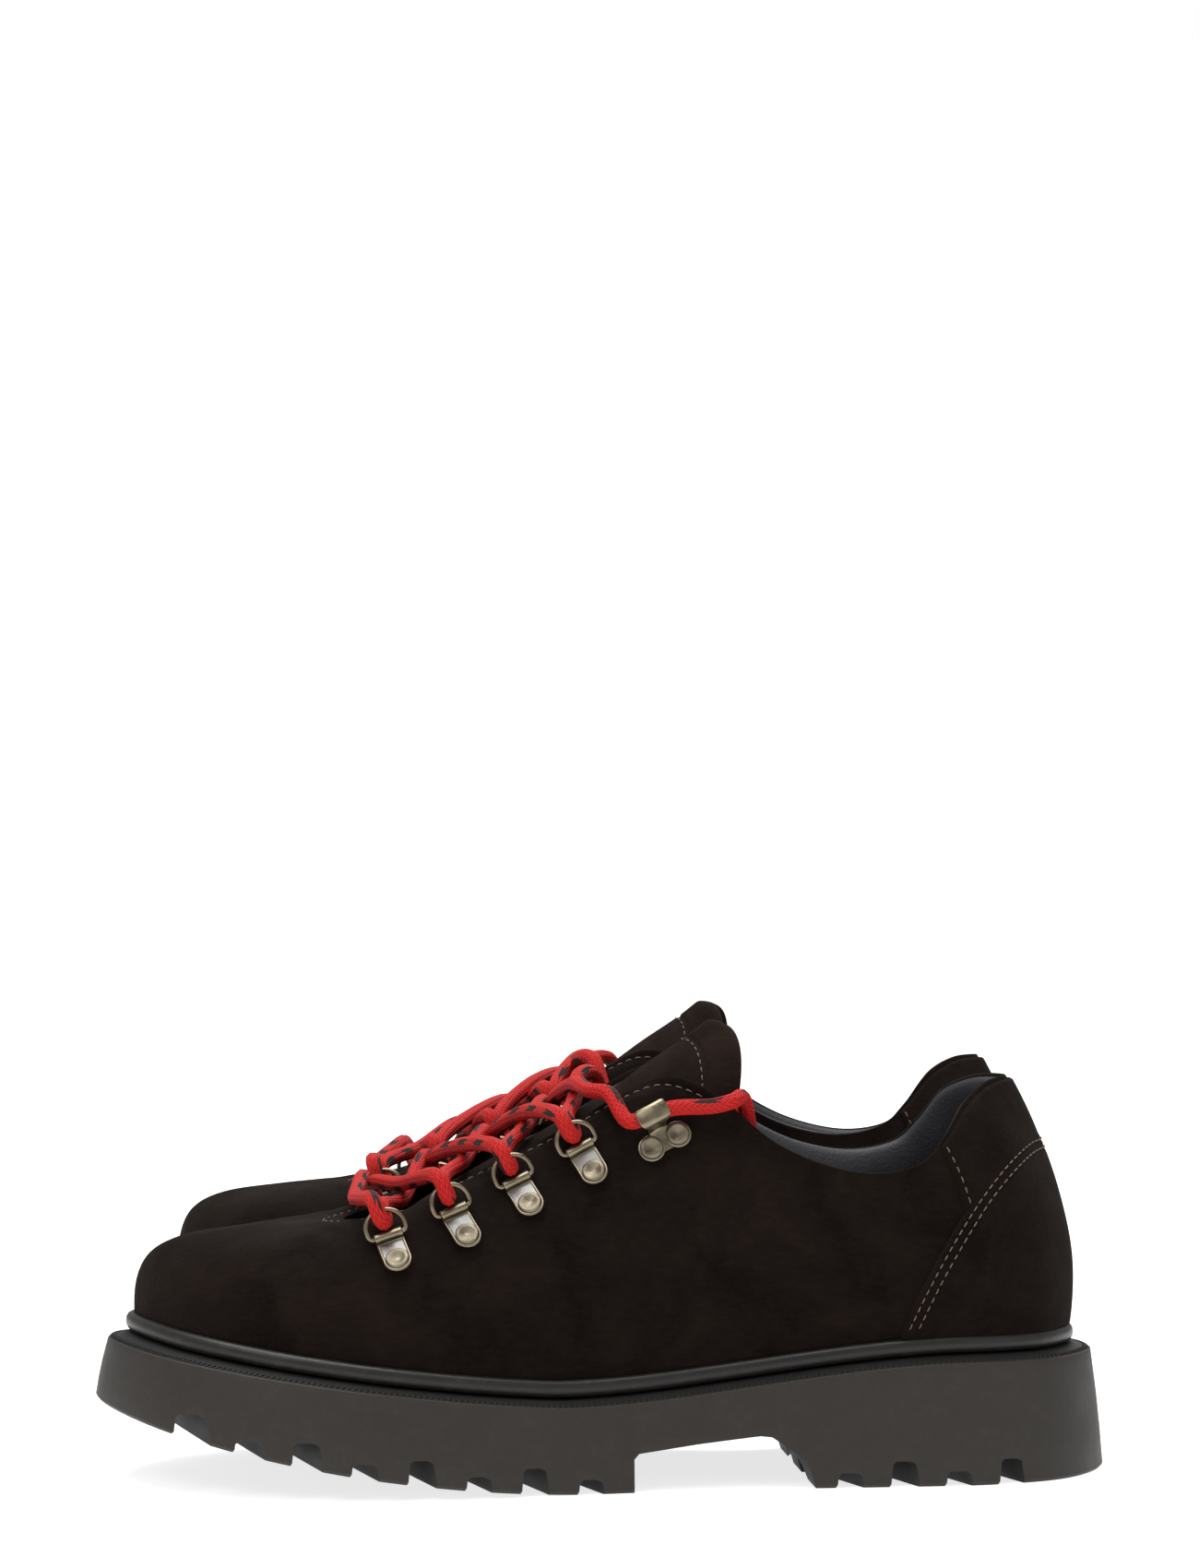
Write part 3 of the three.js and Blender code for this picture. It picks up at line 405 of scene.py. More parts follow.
def suede_finish(name, dark, light, patch):
    made, tree, shader = material(name, Specular_IOR_Level=0.05, Sheen_Weight=0.03, Sheen_Roughness=0.5,
                                  Sheen_Tint=(0.62, 0.5, 0.43, 1))
    pile = add(tree, "ShaderNodeGroup", {"node_tree": nap}, Place=object_place(tree), Patch_Size=patch).outputs
    feed(tree, shader, Base_Color=two_tone(tree, pile["Brushed"], dark, light), Roughness=pile["Roughness"],
         Normal=bump(tree, 0.55, 0.0004, pile["Height"]))
    return made


suede = suede_finish("suede", (0.0040, 0.0024, 0.0019), (0.0108, 0.0066, 0.0051), 45.0)

# ---- Upper ----
# The suede shell, lasted over the foot shape and turned in behind the sole's bead; its cut
# edge shows round the throat. It dips a little along each row of stitches and creases at the toes' bend.
STITCH_INSET = 3.3
EYESTAY_FROM, EYESTAY_TO = 8.8 / 32, 23.2 / 32
around, rows = 512, 96
u = np.arange(around) / around
v = 1 - (1 - np.linspace(0, 1, rows)) ** 1.15
grid_u, grid_v = np.meshgrid(u, v, indexing="ij")


def soft_noise(p, size, seed):
    """Smooth waves in several directions, the same each time; about -1 to 1."""
    rng = np.random.default_rng(seed)
    total = np.zeros(p.shape[:-1])
    for _ in range(9):
        way = rng.normal(size=3)
        way /= np.linalg.norm(way)
        total += np.sin(p @ way * (2 * math.pi / size) * rng.uniform(0.6, 1.6) + rng.uniform(0, 6.3))
    return total / 5


outer_points = skin(grid_u, grid_v)
waves = soft_noise(outer_points, 34, 3) * 0.28 + soft_noise(outer_points, 14, 8) * 0.1
outer_x, outer_z = outer_points[..., 0], outer_points[..., 2]
crease_at = np.exp(-((outer_x + 62 + 0.25 * (outer_z - 60)) / 20) ** 2)
creases = np.sin(outer_x * 0.62 + outer_z * 0.22 + 0.5 * np.sin(outer_z * 0.19)) * crease_at * 0.24
fade = np.clip(grid_v * 9, 0, 1) * np.clip((1 - grid_v) * 10, 0, 1)
lift = (waves + creases) * fade - 0.05
stitch_u = np.linspace(EYESTAY_FROM, EYESTAY_TO, 900)
stitch_v = below_edge(stitch_u, STITCH_INSET)
row_tree = search_tree(skin(stitch_u, stitch_v))
near = np.array([row_tree.find(p)[2] for p in outer_points.reshape(-1, 3)]).reshape(around, rows)
lift = lift - 0.38 * np.exp(-((near / 1.1) ** 2)) + 0.16 * np.exp(-(((near - 2.4) / 1.2) ** 2))
TUCK, TUCK_RISE = -2.4, 0.4  # the foot of the suede, behind the bead
shell = [beside(u, out, TUCK_RISE)[:, None, :] for out in (TUCK - SUEDE, TUCK)] + [skin(grid_u, grid_v, lift)]
# The cut edge rolls over: (depth under the face, rise) across the suede's thickness.
for depth, angle in ((0.12, 0.25), (0.5, 0.62), (1.0, 0.78), (1.5, 0.62), (1.9, 0.2), (2.0, -1.0)):
    shell.append(skin(u, 1.0, -depth)[:, None, :] + np.array([0, 0, 0.55 * angle]))
shell.append(skin(u[:, None], np.array([[0.93, 0.8, 0.6]]), -SUEDE))
shell = np.concatenate(shell, axis=1)
upper = make("suede_upper", shell, grid_faces(around, shell.shape[1], wrap_rows=True), suede)


def thread_row(centre, normal, length=2.05, pitch=2.9, width=0.42, slant=0.0, arch=0.34, sink=0.12):
    """Stitches along a dense line: corners and faces of short threads that rise out of the
    surface and dip back into it."""
    steps = np.linalg.norm(np.diff(centre, axis=0), axis=1)
    run = np.concatenate([[0], np.cumsum(steps)])
    count = max(1, int(run[-1] // pitch))
    middles = (np.arange(count) + 0.5) * run[-1] / count
    along = lambda places, values: np.stack([np.interp(places, run, values[:, k]) for k in range(3)], axis=1)
    at, n = along(middles, centre), along(middles, normal)
    n /= np.linalg.norm(n, axis=1, keepdims=True)
    t = along(np.minimum(middles + 0.6, run[-1]), centre) - along(np.maximum(middles - 0.6, 0), centre)
    t -= n * (t * n).sum(1, keepdims=True)
    t /= np.linalg.norm(t, axis=1, keepdims=True)
    b = np.cross(n, t)
    if slant:
        t, b = t * math.cos(slant) + b * math.sin(slant), b * math.cos(slant) - t * math.sin(slant)
    sides, rings = 7, 8
    s = np.linspace(-1, 1, rings)
    radius = width / 2 * np.sqrt(np.clip(1.02 - s**4, 0.02, 1))
    rise = arch * (1 - s**2) - sink
    angle = 2 * math.pi * np.arange(sides) / sides
    points = (
        at[:, None, None, :]
        + t[:, None, None, :] * (s * length / 2)[None, :, None, None]
        + n[:, None, None, :] * (rise[:, None] + radius[:, None] * np.cos(angle))[None, :, :, None]
        + b[:, None, None, :] * (radius[:, None] * np.sin(angle))[None, :, :, None]
    )
    faces = []
    one = grid_faces(rings, sides, wrap_columns=True)
    one += [tuple(range(sides)), tuple(range((rings - 1) * sides, rings * sides))[::-1]]
    for k in range(count):
        faces += [tuple(i + k * rings * sides for i in f) for f in one]
    return points.reshape(-1, 3), faces


def threads(*rows_of_thread):
    """Several sets of corners and faces as one."""
    points, faces, base = [], [], 0
    for p, f in rows_of_thread:
        points.append(p)
        faces += [tuple(i + base for i in face) for face in f]
        base += len(p)
    return np.concatenate(points), faces


thread_tan, tree, shader = material("tan_thread", Roughness=0.7)
place = object_place(tree)
tan = two_tone(tree, noise(tree, place, 140.0, 3.0), (0.08, 0.054, 0.038), (0.17, 0.122, 0.088))
feed(tree, shader, Base_Color=tan, Normal=bump(tree, 0.6, 0.0002, noise(tree, place, 2600.0, 2.0)))
stitch_centre = skin(stitch_u, stitch_v, -0.36)
eyestay_row = thread_row(stitch_centre, skin_normal(stitch_u, stitch_v), pitch=3.3, length=2.2, width=0.44)
make("eyestay_stitches", *eyestay_row, thread_tan)

# ---- Heel counter and collar panels ----
# Two pieces of the same suede sewn over the back of the upper: the counter with a double
# row of tan thread along its curved top, the short collar piece with a single row at its front.
COUNTER_REACH, COLLAR_REACH = 5.66 / 40, 4 / 40
PANEL, COLLAR_PANEL = 1.5, 1.2
COUNTER_ROWS = (2.0, 4.6)  # the thread rows' distances from the counter's top
COLLAR_ROW = 2.4
MM_ROUND = 528  # millimetres for one turn of u, as at the collar


def counter_top(u):
    return 0.75 - 0.7 * np.clip(np.abs(u) / COUNTER_REACH, 0, 1) ** 4.8


def counter_slope(u):
    """How steeply the counter's top falls away from the heel, in millimetres down per millimetre round."""
    step = 1e-4
    fall = (counter_top(np.abs(u) - step) - counter_top(np.abs(u) + step)) * rib_length(u)
    return fall / np.linalg.norm(rib(u + step, counter_top(u)) - rib(u - step, counter_top(u)), axis=-1)


def counter_seam(u, inset):
    """The place inset square to the counter's top, as u and v."""
    slope = counter_slope(u)
    size = np.linalg.norm(rib(u + 5e-4, counter_top(u)) - rib(u - 5e-4, counter_top(u)), axis=-1) * 1000
    reach = inset / np.sqrt(1 + slope**2)
    return u - np.sign(u) * reach * slope / size, counter_top(u) - reach / rib_length(u)


def overlay(from_u, to_u, edges, columns, rows_across, thickness):
    """A thin panel over the skin with a rounded edge all round: its u, v and lifts."""
    ease = lambda n: np.concatenate([[0, 0.004, 0.011], np.linspace(0.022, 0.978, n), [0.989, 0.996, 1]])
    s, t = ease(columns), ease(rows_across)
    u = from_u + (to_u - from_u) * s
    low, high = edges(u)
    v = low[:, None] + (high - low)[:, None] * t[None, :]
    uu = np.broadcast_to(u[:, None], v.shape)
    size_v = (high - low) * rib_length(u)
    size_u = np.linalg.norm(np.diff(skin(u, (low + high) / 2), axis=0), axis=1).sum()
    slope = np.gradient(high * rib_length(u)) / (size_u * np.gradient(s))
    steep = np.sqrt(1 + slope**2)[:, None]
    edge = np.minimum(np.minimum(s, 1 - s)[:, None] * size_u, np.minimum(t, (1 - t) / steep) * size_v[:, None])
    profile = np.sqrt(np.clip(1 - (1 - np.clip(edge / 1.3, 0, 1)) ** 2, 0, 1))
    p = skin(uu, v)
    return uu, v, profile * thickness + soft_noise(p, 26, 5) * 0.18 * profile - (1 - profile) * 0.3


def counter_edges(u):
    return np.full_like(u, 0.0), counter_top(u)


uu, vv, raised = overlay(-COUNTER_REACH, COUNTER_REACH, counter_edges, 150, 56, PANEL)
length_v = rib_length(uu[:, 0])[:, None]
for inset in COUNTER_ROWS:
    gap = (counter_top(uu) - vv) * length_v / np.sqrt(1 + counter_slope(uu[:, 0]) ** 2)[:, None] - inset
    raised = raised - 0.3 * np.exp(-((gap / 0.8) ** 2))
counter = make("heel_counter", skin(uu, vv, raised), grid_faces(*uu.shape), suede)
counter_rows = []
for inset in COUNTER_ROWS:
    s, w = counter_seam(np.linspace(-0.998, 0.998, 900) * COUNTER_REACH, inset)
    keep = w > 0.06
    counter_rows.append(thread_row(skin(s[keep], w[keep], PANEL - 0.25), skin_normal(s[keep], w[keep])))
make("counter_stitches", *threads(*counter_rows), thread_tan)


def collar_edges(u):
    return counter_top(u) - 0.03, np.full_like(u, 0.985)


uu, vv, raised = overlay(-COLLAR_REACH, COLLAR_REACH, collar_edges, 110, 40, COLLAR_PANEL)
side_gap = (COLLAR_REACH - np.abs(uu)) * MM_ROUND - COLLAR_ROW
raised = raised - 0.3 * np.exp(-((side_gap / 0.9) ** 2))
collar_piece = make("collar_piece", skin(uu, vv, raised), grid_faces(*uu.shape), suede)
collar_rows = []
for way in (-1, 1):
    w = np.linspace(float(counter_top(COLLAR_REACH)) + 0.02, 0.97, 200)
    s = np.full_like(w, way * (COLLAR_REACH - COLLAR_ROW / MM_ROUND))
    collar_rows.append(thread_row(skin(s, w, COLLAR_PANEL - 0.25), skin_normal(s, w)))
make("collar_stitches", *threads(*collar_rows), thread_tan)
for side in ("left", "right"):
    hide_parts(f"{side}_upper")
    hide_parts(f"{side}_heel_counter_panel")
    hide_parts(f"{side}_heel_collar")

# ---- Lining and padded collar ----
# Blue-grey lining leather over foam: it fills out below the edge round the ankle and is thin
# toward the toes. A rolled leather edge closes the collar.
grain, start, end = effect("leather_grain", [("Place", VECTOR, None), ("Pebble", FLOAT, 900.0)],
                           [("Height", FLOAT), ("Tone", FLOAT)])
place = start.outputs["Place"]
cells = add(grain, "ShaderNodeTexVoronoi", {"feature": "SMOOTH_F1"}, Vector=place, Scale=start.outputs["Pebble"])
grain_height = maths(grain, "MULTIPLY_ADD", noise(grain, place, 2400.0, 2.0), 0.35, cells.outputs["Distance"])
feed(grain, end, Height=grain_height, Tone=noise(grain, place, 45.0, 5.0, Roughness=0.6))
lining_leather, tree, shader = material("lining_leather", Roughness=0.56, Specular_IOR_Level=0.4)
pebbles = add(tree, "ShaderNodeGroup", {"node_tree": grain}, Place=object_place(tree), Pebble=1100.0).outputs
blue_grey = two_tone(tree, pebbles["Tone"], (0.0125, 0.0128, 0.0155), (0.029, 0.0292, 0.034))
feed(tree, shader, Base_Color=blue_grey, Normal=bump(tree, 0.35, 0.0003, pebbles["Height"]))

FOAM, FOAM_DEPTH = 4.4, 38  # thickest padding, and how far below the edge it reaches
GAP, LEATHER = 0.5, 0.6
around = 320
u = np.arange(around) / around
stations = np.minimum(u, 1 - u) * 32
collar_zone = 1 / (1 + np.exp((stations - 8.6) * 2.2))
v = np.linspace(0.985, 0.04, 44)
grid_u, grid_v = np.meshgrid(u, v, indexing="ij")
height_below = (1 - grid_v) * rib_length(u)[:, None]
swell = np.clip(np.sin(np.clip(height_below / FOAM_DEPTH, 0, 1) * math.pi), 0, 1) ** 0.7
inside = skin(grid_u, grid_v, -SUEDE - GAP - LEATHER - FOAM * collar_zone[:, None] * swell)
rim = [skin(u, 0.97, -SUEDE - 0.1)[:, None, :],
       skin(u, 0.992, -SUEDE - 0.25)[:, None, :] + np.array([0, 0, 0.5]),
       skin(u, 0.998, -SUEDE - 0.8)[:, None, :] + np.array([0, 0, 0.4])]
lining_points = np.concatenate([*rim, inside], axis=1)
lining = make("lining_skin", lining_points, grid_faces(around, lining_points.shape[1], wrap_rows=True), lining_leather)
for side in ("left", "right"):
    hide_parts(f"{side}_lining")

# ---- Footbed, board and shank ----
# A cushioned insole lies on the fibre board, which holds the steel shank over the arch.
footbed_finish, tree, shader = material("footbed_textile", Roughness=0.9)
threads_on = lambda way: add(tree, "ShaderNodeTexWave", {"bands_direction": way}, Vector=place, Scale=420.0,
                             Distortion=0.6).outputs["Fac"]
place = object_place(tree)
cross = maths(tree, "MULTIPLY", threads_on("X"), threads_on("Y"))
feed(tree, shader, Base_Color=two_tone(tree, cross, (0.03, 0.035, 0.05), (0.085, 0.095, 0.13)),
     Normal=bump(tree, 0.4, 0.0003, cross))


def cap_faces(count, rings, level):
    """Faces that close one ring of a form drawn round the boot, in strips across it."""
    faces = []
    for i in range(count // 2):
        around = (i, i + 1, (count - 1 - i) % count, (count - i) % count)
        strip = list(dict.fromkeys(k * rings + level for k in around))
        if len(strip) > 2:
            faces.append(tuple(strip))
    return faces


count = 200
u = np.arange(count) / count
profile = [(-4.9, 3.3), (-4.9, 6.6), (-5.2, 7.6), (-6.2, 8.1), (-9, 7.6), (-14, 6.9), (-20, 6.7)]
bed = np.stack([beside(u, out, rise) for out, rise in profile], axis=1)
faces = grid_faces(count, len(profile), wrap_rows=True) + cap_faces(count, len(profile), len(profile) - 1)
footbed = make("footbed_cushion", bed, faces, footbed_finish)
board_finish, tree, shader = material("fibre_board", Roughness=0.9)
fibres = noise(tree, object_place(tree), 350.0, 6.0)
feed(tree, shader, Base_Color=two_tone(tree, fibres, (0.16, 0.11, 0.07), (0.3, 0.22, 0.14)))
shank_finish, tree, shader = material("shank_steel", Metallic=1.0, Base_Color=(0.5, 0.5, 0.49, 1))
feed(tree, shader, Roughness=ranged(tree, noise(tree, object_place(tree), 600.0, 3.0), 0.0, 1.0, 0.25, 0.5))
for side in ("left", "right"):
    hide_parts(f"{side}_footbed")
    for node, finish in (("insole_board", board_finish), ("shank", shank_finish)):
        cad = frame["nodes"][f"{side}_{node}"]
        cad.data.materials.clear()
        cad.data.materials.append(finish)

# ---- Outsole ----
# One moulding of brown-grey rubber: a heel block, an open arch, and slanted lugs between
# deep and shallow channels. A ridged ledge runs round its top.
LEDGE_OUT, FLARE_OUT, BEAD_OUT = 7.8, 11.5, 2.1
SLANT = math.radians(18)
speckle, start, end = effect("moulded_rubber", [("Place", VECTOR, None), ("Mottle", FLOAT, 70.0)],
                             [("Tone", FLOAT), ("Height", FLOAT), ("Dust", FLOAT)])
place = start.outputs["Place"]
dust = noise(speckle, place, 240.0, 6.0, Roughness=0.75)
feed(speckle, end, Tone=noise(speckle, place, start.outputs["Mottle"], 6.0, Roughness=0.6),
     Height=noise(speckle, place, 1500.0, 3.0, Roughness=0.6), Dust=ranged(speckle, dust, 0.52, 0.74, 0.0, 1.0))


def rubber_finish(name, dark, light, rough_low, rough_high, dust_amount):
    made, tree, shader = material(name, Specular_IOR_Level=0.35)
    face = add(tree, "ShaderNodeGroup", {"node_tree": speckle}, Place=object_place(tree)).outputs
    share = maths(tree, "MULTIPLY", face["Dust"], dust_amount)
    dusted = two_tone(tree, share, two_tone(tree, face["Tone"], dark, light), (0.16, 0.14, 0.12))
    feed(tree, shader, Base_Color=dusted, Roughness=ranged(tree, face["Tone"], 0.25, 0.75, rough_low, rough_high),
         Normal=bump(tree, 0.3, 0.0002, face["Height"]))
    return made


sole_rubber = rubber_finish("sole_rubber", (0.0152, 0.0122, 0.0098), (0.0235, 0.0193, 0.0158), 0.5, 0.66, 0.05)
# Painted shade: a near-black rubber for the faces inside the channels and on the ledge, where shade falls.
painted_shade_rubber = rubber_finish("painted_shade_rubber", (0.0035, 0.003, 0.0027), (0.0065, 0.0057, 0.005), 0.6, 0.75, 0.02)


def tread_height(x):
    """Height of the tread: flat under the foot, rising to the toe."""
    return 23.4 * np.clip((-5 - x) / 147, 0, None) ** 1.67


def closed_mesh(name, points, faces):
    mesh = bpy.data.meshes.new(name)
    mesh.from_pydata(np.asarray(points, float).reshape(-1, 3).tolist(), [], faces)
    turn_outward(mesh, weld=1e-5)
    piece = bpy.data.objects.new(name, mesh)
    bpy.context.scene.collection.objects.link(piece)
    return piece


def prism(outline, depth, turn, at):
    """A channel cutter: outline in x and z, run along y, turned about z and moved."""
    n = len(outline)
    c, s = math.cos(turn), math.sin(turn)
    points = [(x * c - y * s + at[0], x * s + y * c + at[1], z + at[2]) for y in (0.0, depth) for x, z in outline]
    faces = [tuple(range(n)), tuple(range(2 * n - 1, n - 1, -1))]
    faces += [(i, (i + 1) % n, (i + 1) % n + n, i + n) for i in range(n)]
    return points, faces


count = 232
u = np.arange(count) / count
bottom = beside(u, FLARE_OUT - 1.0, 0)
bottom[:, 2] = tread_height(bottom[:, 0])
low = beside(u, FLARE_OUT, 0)
low[:, 2] = tread_height(low[:, 0]) + 1.0
rings = [bottom, low]
top = beside(u, LEDGE_OUT, -2.0)
for share in (0.3, 0.6, 0.9):
    rings.append(low + (top - low) * share + outward(u) * 0.35 * math.sin(share * math.pi))
rings += [top, beside(u, LEDGE_OUT - 0.5, -1.75), beside(u, BEAD_OUT - 1.0, 0.0), beside(u, -4.75, 0.0)]
block = np.stack(rings, axis=1)
faces = grid_faces(count, block.shape[1], wrap_rows=True)
for level in (0, block.shape[1] - 1):
    faces += cap_faces(count, block.shape[1], level)
sole = closed_mesh("sole_block", block, faces)
ARCH = [(6, -5), (6, 9.8), (7.5, 11.4), (26, 13.7), (44, 15.6), (47.5, 15.2), (58, 8.2), (62, -5)]
cutters = [prism(ARCH, 200, 0.0, (0, -100, 0))]
CHANNEL_HALF, DEEP, SHALLOW, SHALLOW_RUN = 3.2, 7.6, 4.4, 33
PITCH, HEEL_PITCH = 33.4, 32.8


def channel(depth):
    side = [(CHANNEL_HALF - 0.8, depth), (CHANNEL_HALF + 0.15, depth - 0.9), (CHANNEL_HALF + 1.8, -6)]
    return [(-x, z) for x, z in side[::-1]] + side


deep_at = [-23.6 - PITCH * i for i in range(4)] + [87.3, 87.3 + HEEL_PITCH]
shallow_at = [x + PITCH / 2 for x in deep_at[:4]] + [x - HEEL_PITCH / 2 for x in deep_at[4:]]
LEAD = 12  # a cutter starts this far outside the tread's edge
for way in (-1, 1):
    side_line = beside(np.linspace(0 if way < 0 else 1, 0.5, 400), FLARE_OUT, 0)
    for places, depth, inward in ((deep_at, DEEP, None), (shallow_at, SHALLOW, SHALLOW_RUN)):
        for x in places:
            edge_y = float(np.interp(x, side_line[::-1, 0], side_line[::-1, 1]))
            # Each channel runs in from the tread's edge, slanting toward the toe.
            turn = SLANT if way < 0 else math.pi - SLANT
            reach = (inward or abs(edge_y) + 2) / math.cos(SLANT) + LEAD
            start_x, start_y = x + math.sin(SLANT) * LEAD, edge_y + way * math.cos(SLANT) * LEAD
            cutters.append(prism(channel(depth), reach, turn, (start_x, start_y, float(tread_height(x)))))
collection = bpy.data.collections.new("channel_cutters")
for k, (points, cutter_faces) in enumerate(cutters):
    cutter = closed_mesh(f"cutter_{k}", points, cutter_faces)
    bpy.context.scene.collection.objects.unlink(cutter)
    collection.objects.link(cutter)
carve = sole.modifiers.new("channels", "BOOLEAN")
carve.operand_type = "COLLECTION"
carve.collection = collection
carve.solver = "EXACT"
soften = sole.modifiers.new("soft_edges", "BEVEL")
soften.width = 0.55
soften.segments = 2
soften.limit_method = "ANGLE"
soften.angle_limit = math.radians(38)
bpy.context.scene.collection.children.link(collection)
bpy.context.view_layer.update()
carved = bpy.data.meshes.new_from_object(sole.evaluated_get(bpy.context.evaluated_depsgraph_get()))
sole_points = np.array([v.co[:] for v in carved.vertices])
sole_faces = [tuple(p.vertices) for p in carved.polygons]
for cutter in list(collection.objects):
    bpy.data.objects.remove(cutter)
bpy.data.collections.remove(collection)
bpy.data.objects.remove(sole)
outsole = make("rubber_outsole", sole_points, sole_faces, sole_rubber, sharp=32)
# The channels' walls and the strip under the bead get a much darker rubber: painted shade in the channels, and on the
# strip partly painted shade, partly blacker rubber.
s = np.linspace(0, 1, 900, endpoint=False)
wall_foot, wall_head = beside(s, FLARE_OUT, 0), beside(s, LEDGE_OUT, -2.0)
wall_foot[:, 2] = tread_height(wall_foot[:, 0])
walls = np.concatenate([wall_foot + (wall_head - wall_foot) * share for share in np.linspace(0, 1, 24)])
wall_tree = search_tree(walls)
painted_shade_faces = []
for face in sole_faces:
    x, y, z = sole_points[list(face)].mean(axis=0)
    over_tread = z - float(tread_height(x))
    painted_shade_faces.append(int(over_tread > 0.6 and wall_tree.find((x, y, z))[2] > 1.1))
for side in ("left", "right"):
    outsole[side].data.materials.append(painted_shade_rubber)
    outsole[side].data.polygons.foreach_set("material_index", painted_shade_faces)
# Slanted ridges moulded along the ledge's outer edge, in the same darker rubber: partly their own blacker rubber,
# partly painted shade.
s = np.linspace(0, 1, 1600, endpoint=False)
ridge_line = beside(s, LEDGE_OUT - 1.5, -1.52)
up = np.tile(np.array([0.0, 0.0, 1.0]), (len(s), 1)) + outward(s) * 0.35
ridges = thread_row(ridge_line, up, length=2.5, pitch=1.75, width=0.72, slant=math.radians(58), arch=0.2, sink=0.08)
make("ledge_ridges", *ridges, painted_shade_rubber)
for side in ("left", "right"):
    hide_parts(f"{side}_outsole")

# ---- Welt band ----
# A smooth, round rubber bead seated on the ledge against the upper, blacker than the sole and
# undercut at its foot, so a dark line shows below it.
bead_rubber = rubber_finish("bead_rubber", (0.008, 0.0066, 0.006), (0.0155, 0.0132, 0.012), 0.32, 0.46, 0.08)
count = 360
u = np.arange(count) / count
profile = [(-1.6, 0.45), (1.0, 0.5), (1.85, 0.9), (2.35, 1.8), (2.5, 3.0), (2.35, 4.2), (1.8, 5.1), (0.9, 5.6),
           (0, 5.7), (-0.6, 5.3), (-1.6, 4.4)]
bead = np.stack([beside(u, out, rise) for out, rise in profile], axis=1)
band = make("welt_bead", bead, grid_faces(count, len(profile), wrap_rows=True, wrap_columns=True), bead_rubber)
for side in ("left", "right"):
    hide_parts(f"{side}_welt_band")

# ---- Ring clips ----
# Four clips a side: a small steel plate with a brass rim, riveted through the eyestay, whose
# end is rolled into the barrel that holds the D-ring's straight bar.
AXIS_HEIGHT = 2.0  # the bar's centre over the suede
CLIP_HALF, RIVET_DOWN = 4.3, 8.7
RING_HALF, RING_TOP, WIRE, RING_TILT = 5.8, 7.85, 0.75, math.radians(33)


def unit(vector):
    return vector / np.linalg.norm(vector)


def ring_line(t):
    return -65.8 + 57.6 * t, 74.3 + 25.1 * t - 6 * t * (1 - t)


def clip_place(i, way):
    """Where clip i sits on one side: its bar's centre, along the bar, down to the rivet, off the suede."""
    t = i / 3
    u, v = skin_at(*ring_line(t), way)
    before, after = (rib(*skin_at(*ring_line(t + d), way)) for d in (-0.06, 0.06))
    off = skin_normal(u, v)
    along = unit((after - before) - off * np.dot(after - before, off))
    return rib(u, v) + off * AXIS_HEIGHT, along, downward(off, along), off


def seat(points, place):
    """Points drawn along, down and off a place, moved there."""
    at, along, down, off = place
    return at + np.asarray(points, float).reshape(-1, 3) @ np.stack([along, down, off])


WAYS = (("lateral", -1), ("medial", 1))
CLIPS = {(name, i): clip_place(i, way) for name, way in WAYS for i in range(4)}

metal, start, end = effect("tarnish", [("Place", VECTOR, None), ("Cloud", FLOAT, 260.0)],
                           [("Tone", FLOAT), ("Roughness", FLOAT), ("Height", FLOAT)])
cloud = noise(metal, start.outputs["Place"], start.outputs["Cloud"], 5.0, Roughness=0.65)
feed(metal, end, Tone=cloud, Roughness=ranged(metal, cloud, 0.3, 0.7, 0.22, 0.46),
     Height=noise(metal, start.outputs["Place"], 2300.0, 2.0))


def metal_finish(name, dark, light, cloud_size):
    made, tree, shader = material(name, Metallic=1.0)
    face = add(tree, "ShaderNodeGroup", {"node_tree": metal}, Place=object_place(tree), Cloud=cloud_size).outputs
    feed(tree, shader, Base_Color=two_tone(tree, face["Tone"], dark, light), Roughness=face["Roughness"],
         Normal=bump(tree, 0.15, 0.0001, face["Height"]))
    return made


antique_brass = metal_finish("antique_brass", (0.11, 0.09, 0.06), (0.31, 0.265, 0.18), 260.0)
plate_steel = metal_finish("plate_steel", (0.1, 0.098, 0.094), (0.2, 0.196, 0.19), 300.0)
# Rivet faces are spun, which leaves fine rings round their middle.
rivet_brass, tree, shader = material("spun_brass", Metallic=1.0, Roughness=0.3)
face_map = add(tree, "ShaderNodeUVMap", {"uv_map": "UVMap"}).outputs["UV"]
turning = add(tree, "ShaderNodeTexWave", {"bands_direction": "X", "wave_profile": "SIN"}, Vector=face_map, Scale=9.0,
              Distortion=1.2, Detail=3.0)
cloud = noise(tree, object_place(tree), 320.0, 4.0)
feed(tree, shader, Base_Color=two_tone(tree, cloud, (0.1, 0.083, 0.055), (0.29, 0.25, 0.18)),
     Normal=bump(tree, 0.3, 0.0001, turning.outputs["Fac"]))


def clip_outline(inset, y_from):
    """The plate's outline: straight sides from the barrel, a half round about the rivet."""
    half = CLIP_HALF - inset
    turn = np.linspace(0, math.pi, 29)
    bow = [(half * math.cos(a), RIVET_DOWN + half * math.sin(a)) for a in turn]
    sides = np.linspace(y_from, RIVET_DOWN, 5)[:-1]
    return [(half, y) for y in sides] + bow + [(-half, y) for y in sides[::-1]]


def stacked(outlines):
    """Rings of (outline, height), the first and last closed flat."""
    points = [(x, y, z) for outline, z in outlines for x, y in outline]
    n = len(outlines[0][0])
    faces = grid_faces(len(outlines), n, wrap_columns=True)
    faces += [tuple(range(n))[::-1], tuple(range((len(outlines) - 1) * n, len(outlines) * n))]
    return points, faces


def spun(profile, at, segments=44):
    """A turned form: (radius, height) rings about an axis off the surface; uv x is the radius."""
    points, uv = [], []
    for r, z in profile:
        for k in range(segments):
            a = 2 * math.pi * k / segments
            points.append((at[0] + r * math.cos(a), at[1] + r * math.sin(a), at[2] + z))
            uv.append((r / 3.6, k / segments))
    return points, grid_faces(len(profile), segments, wrap_columns=True), uv


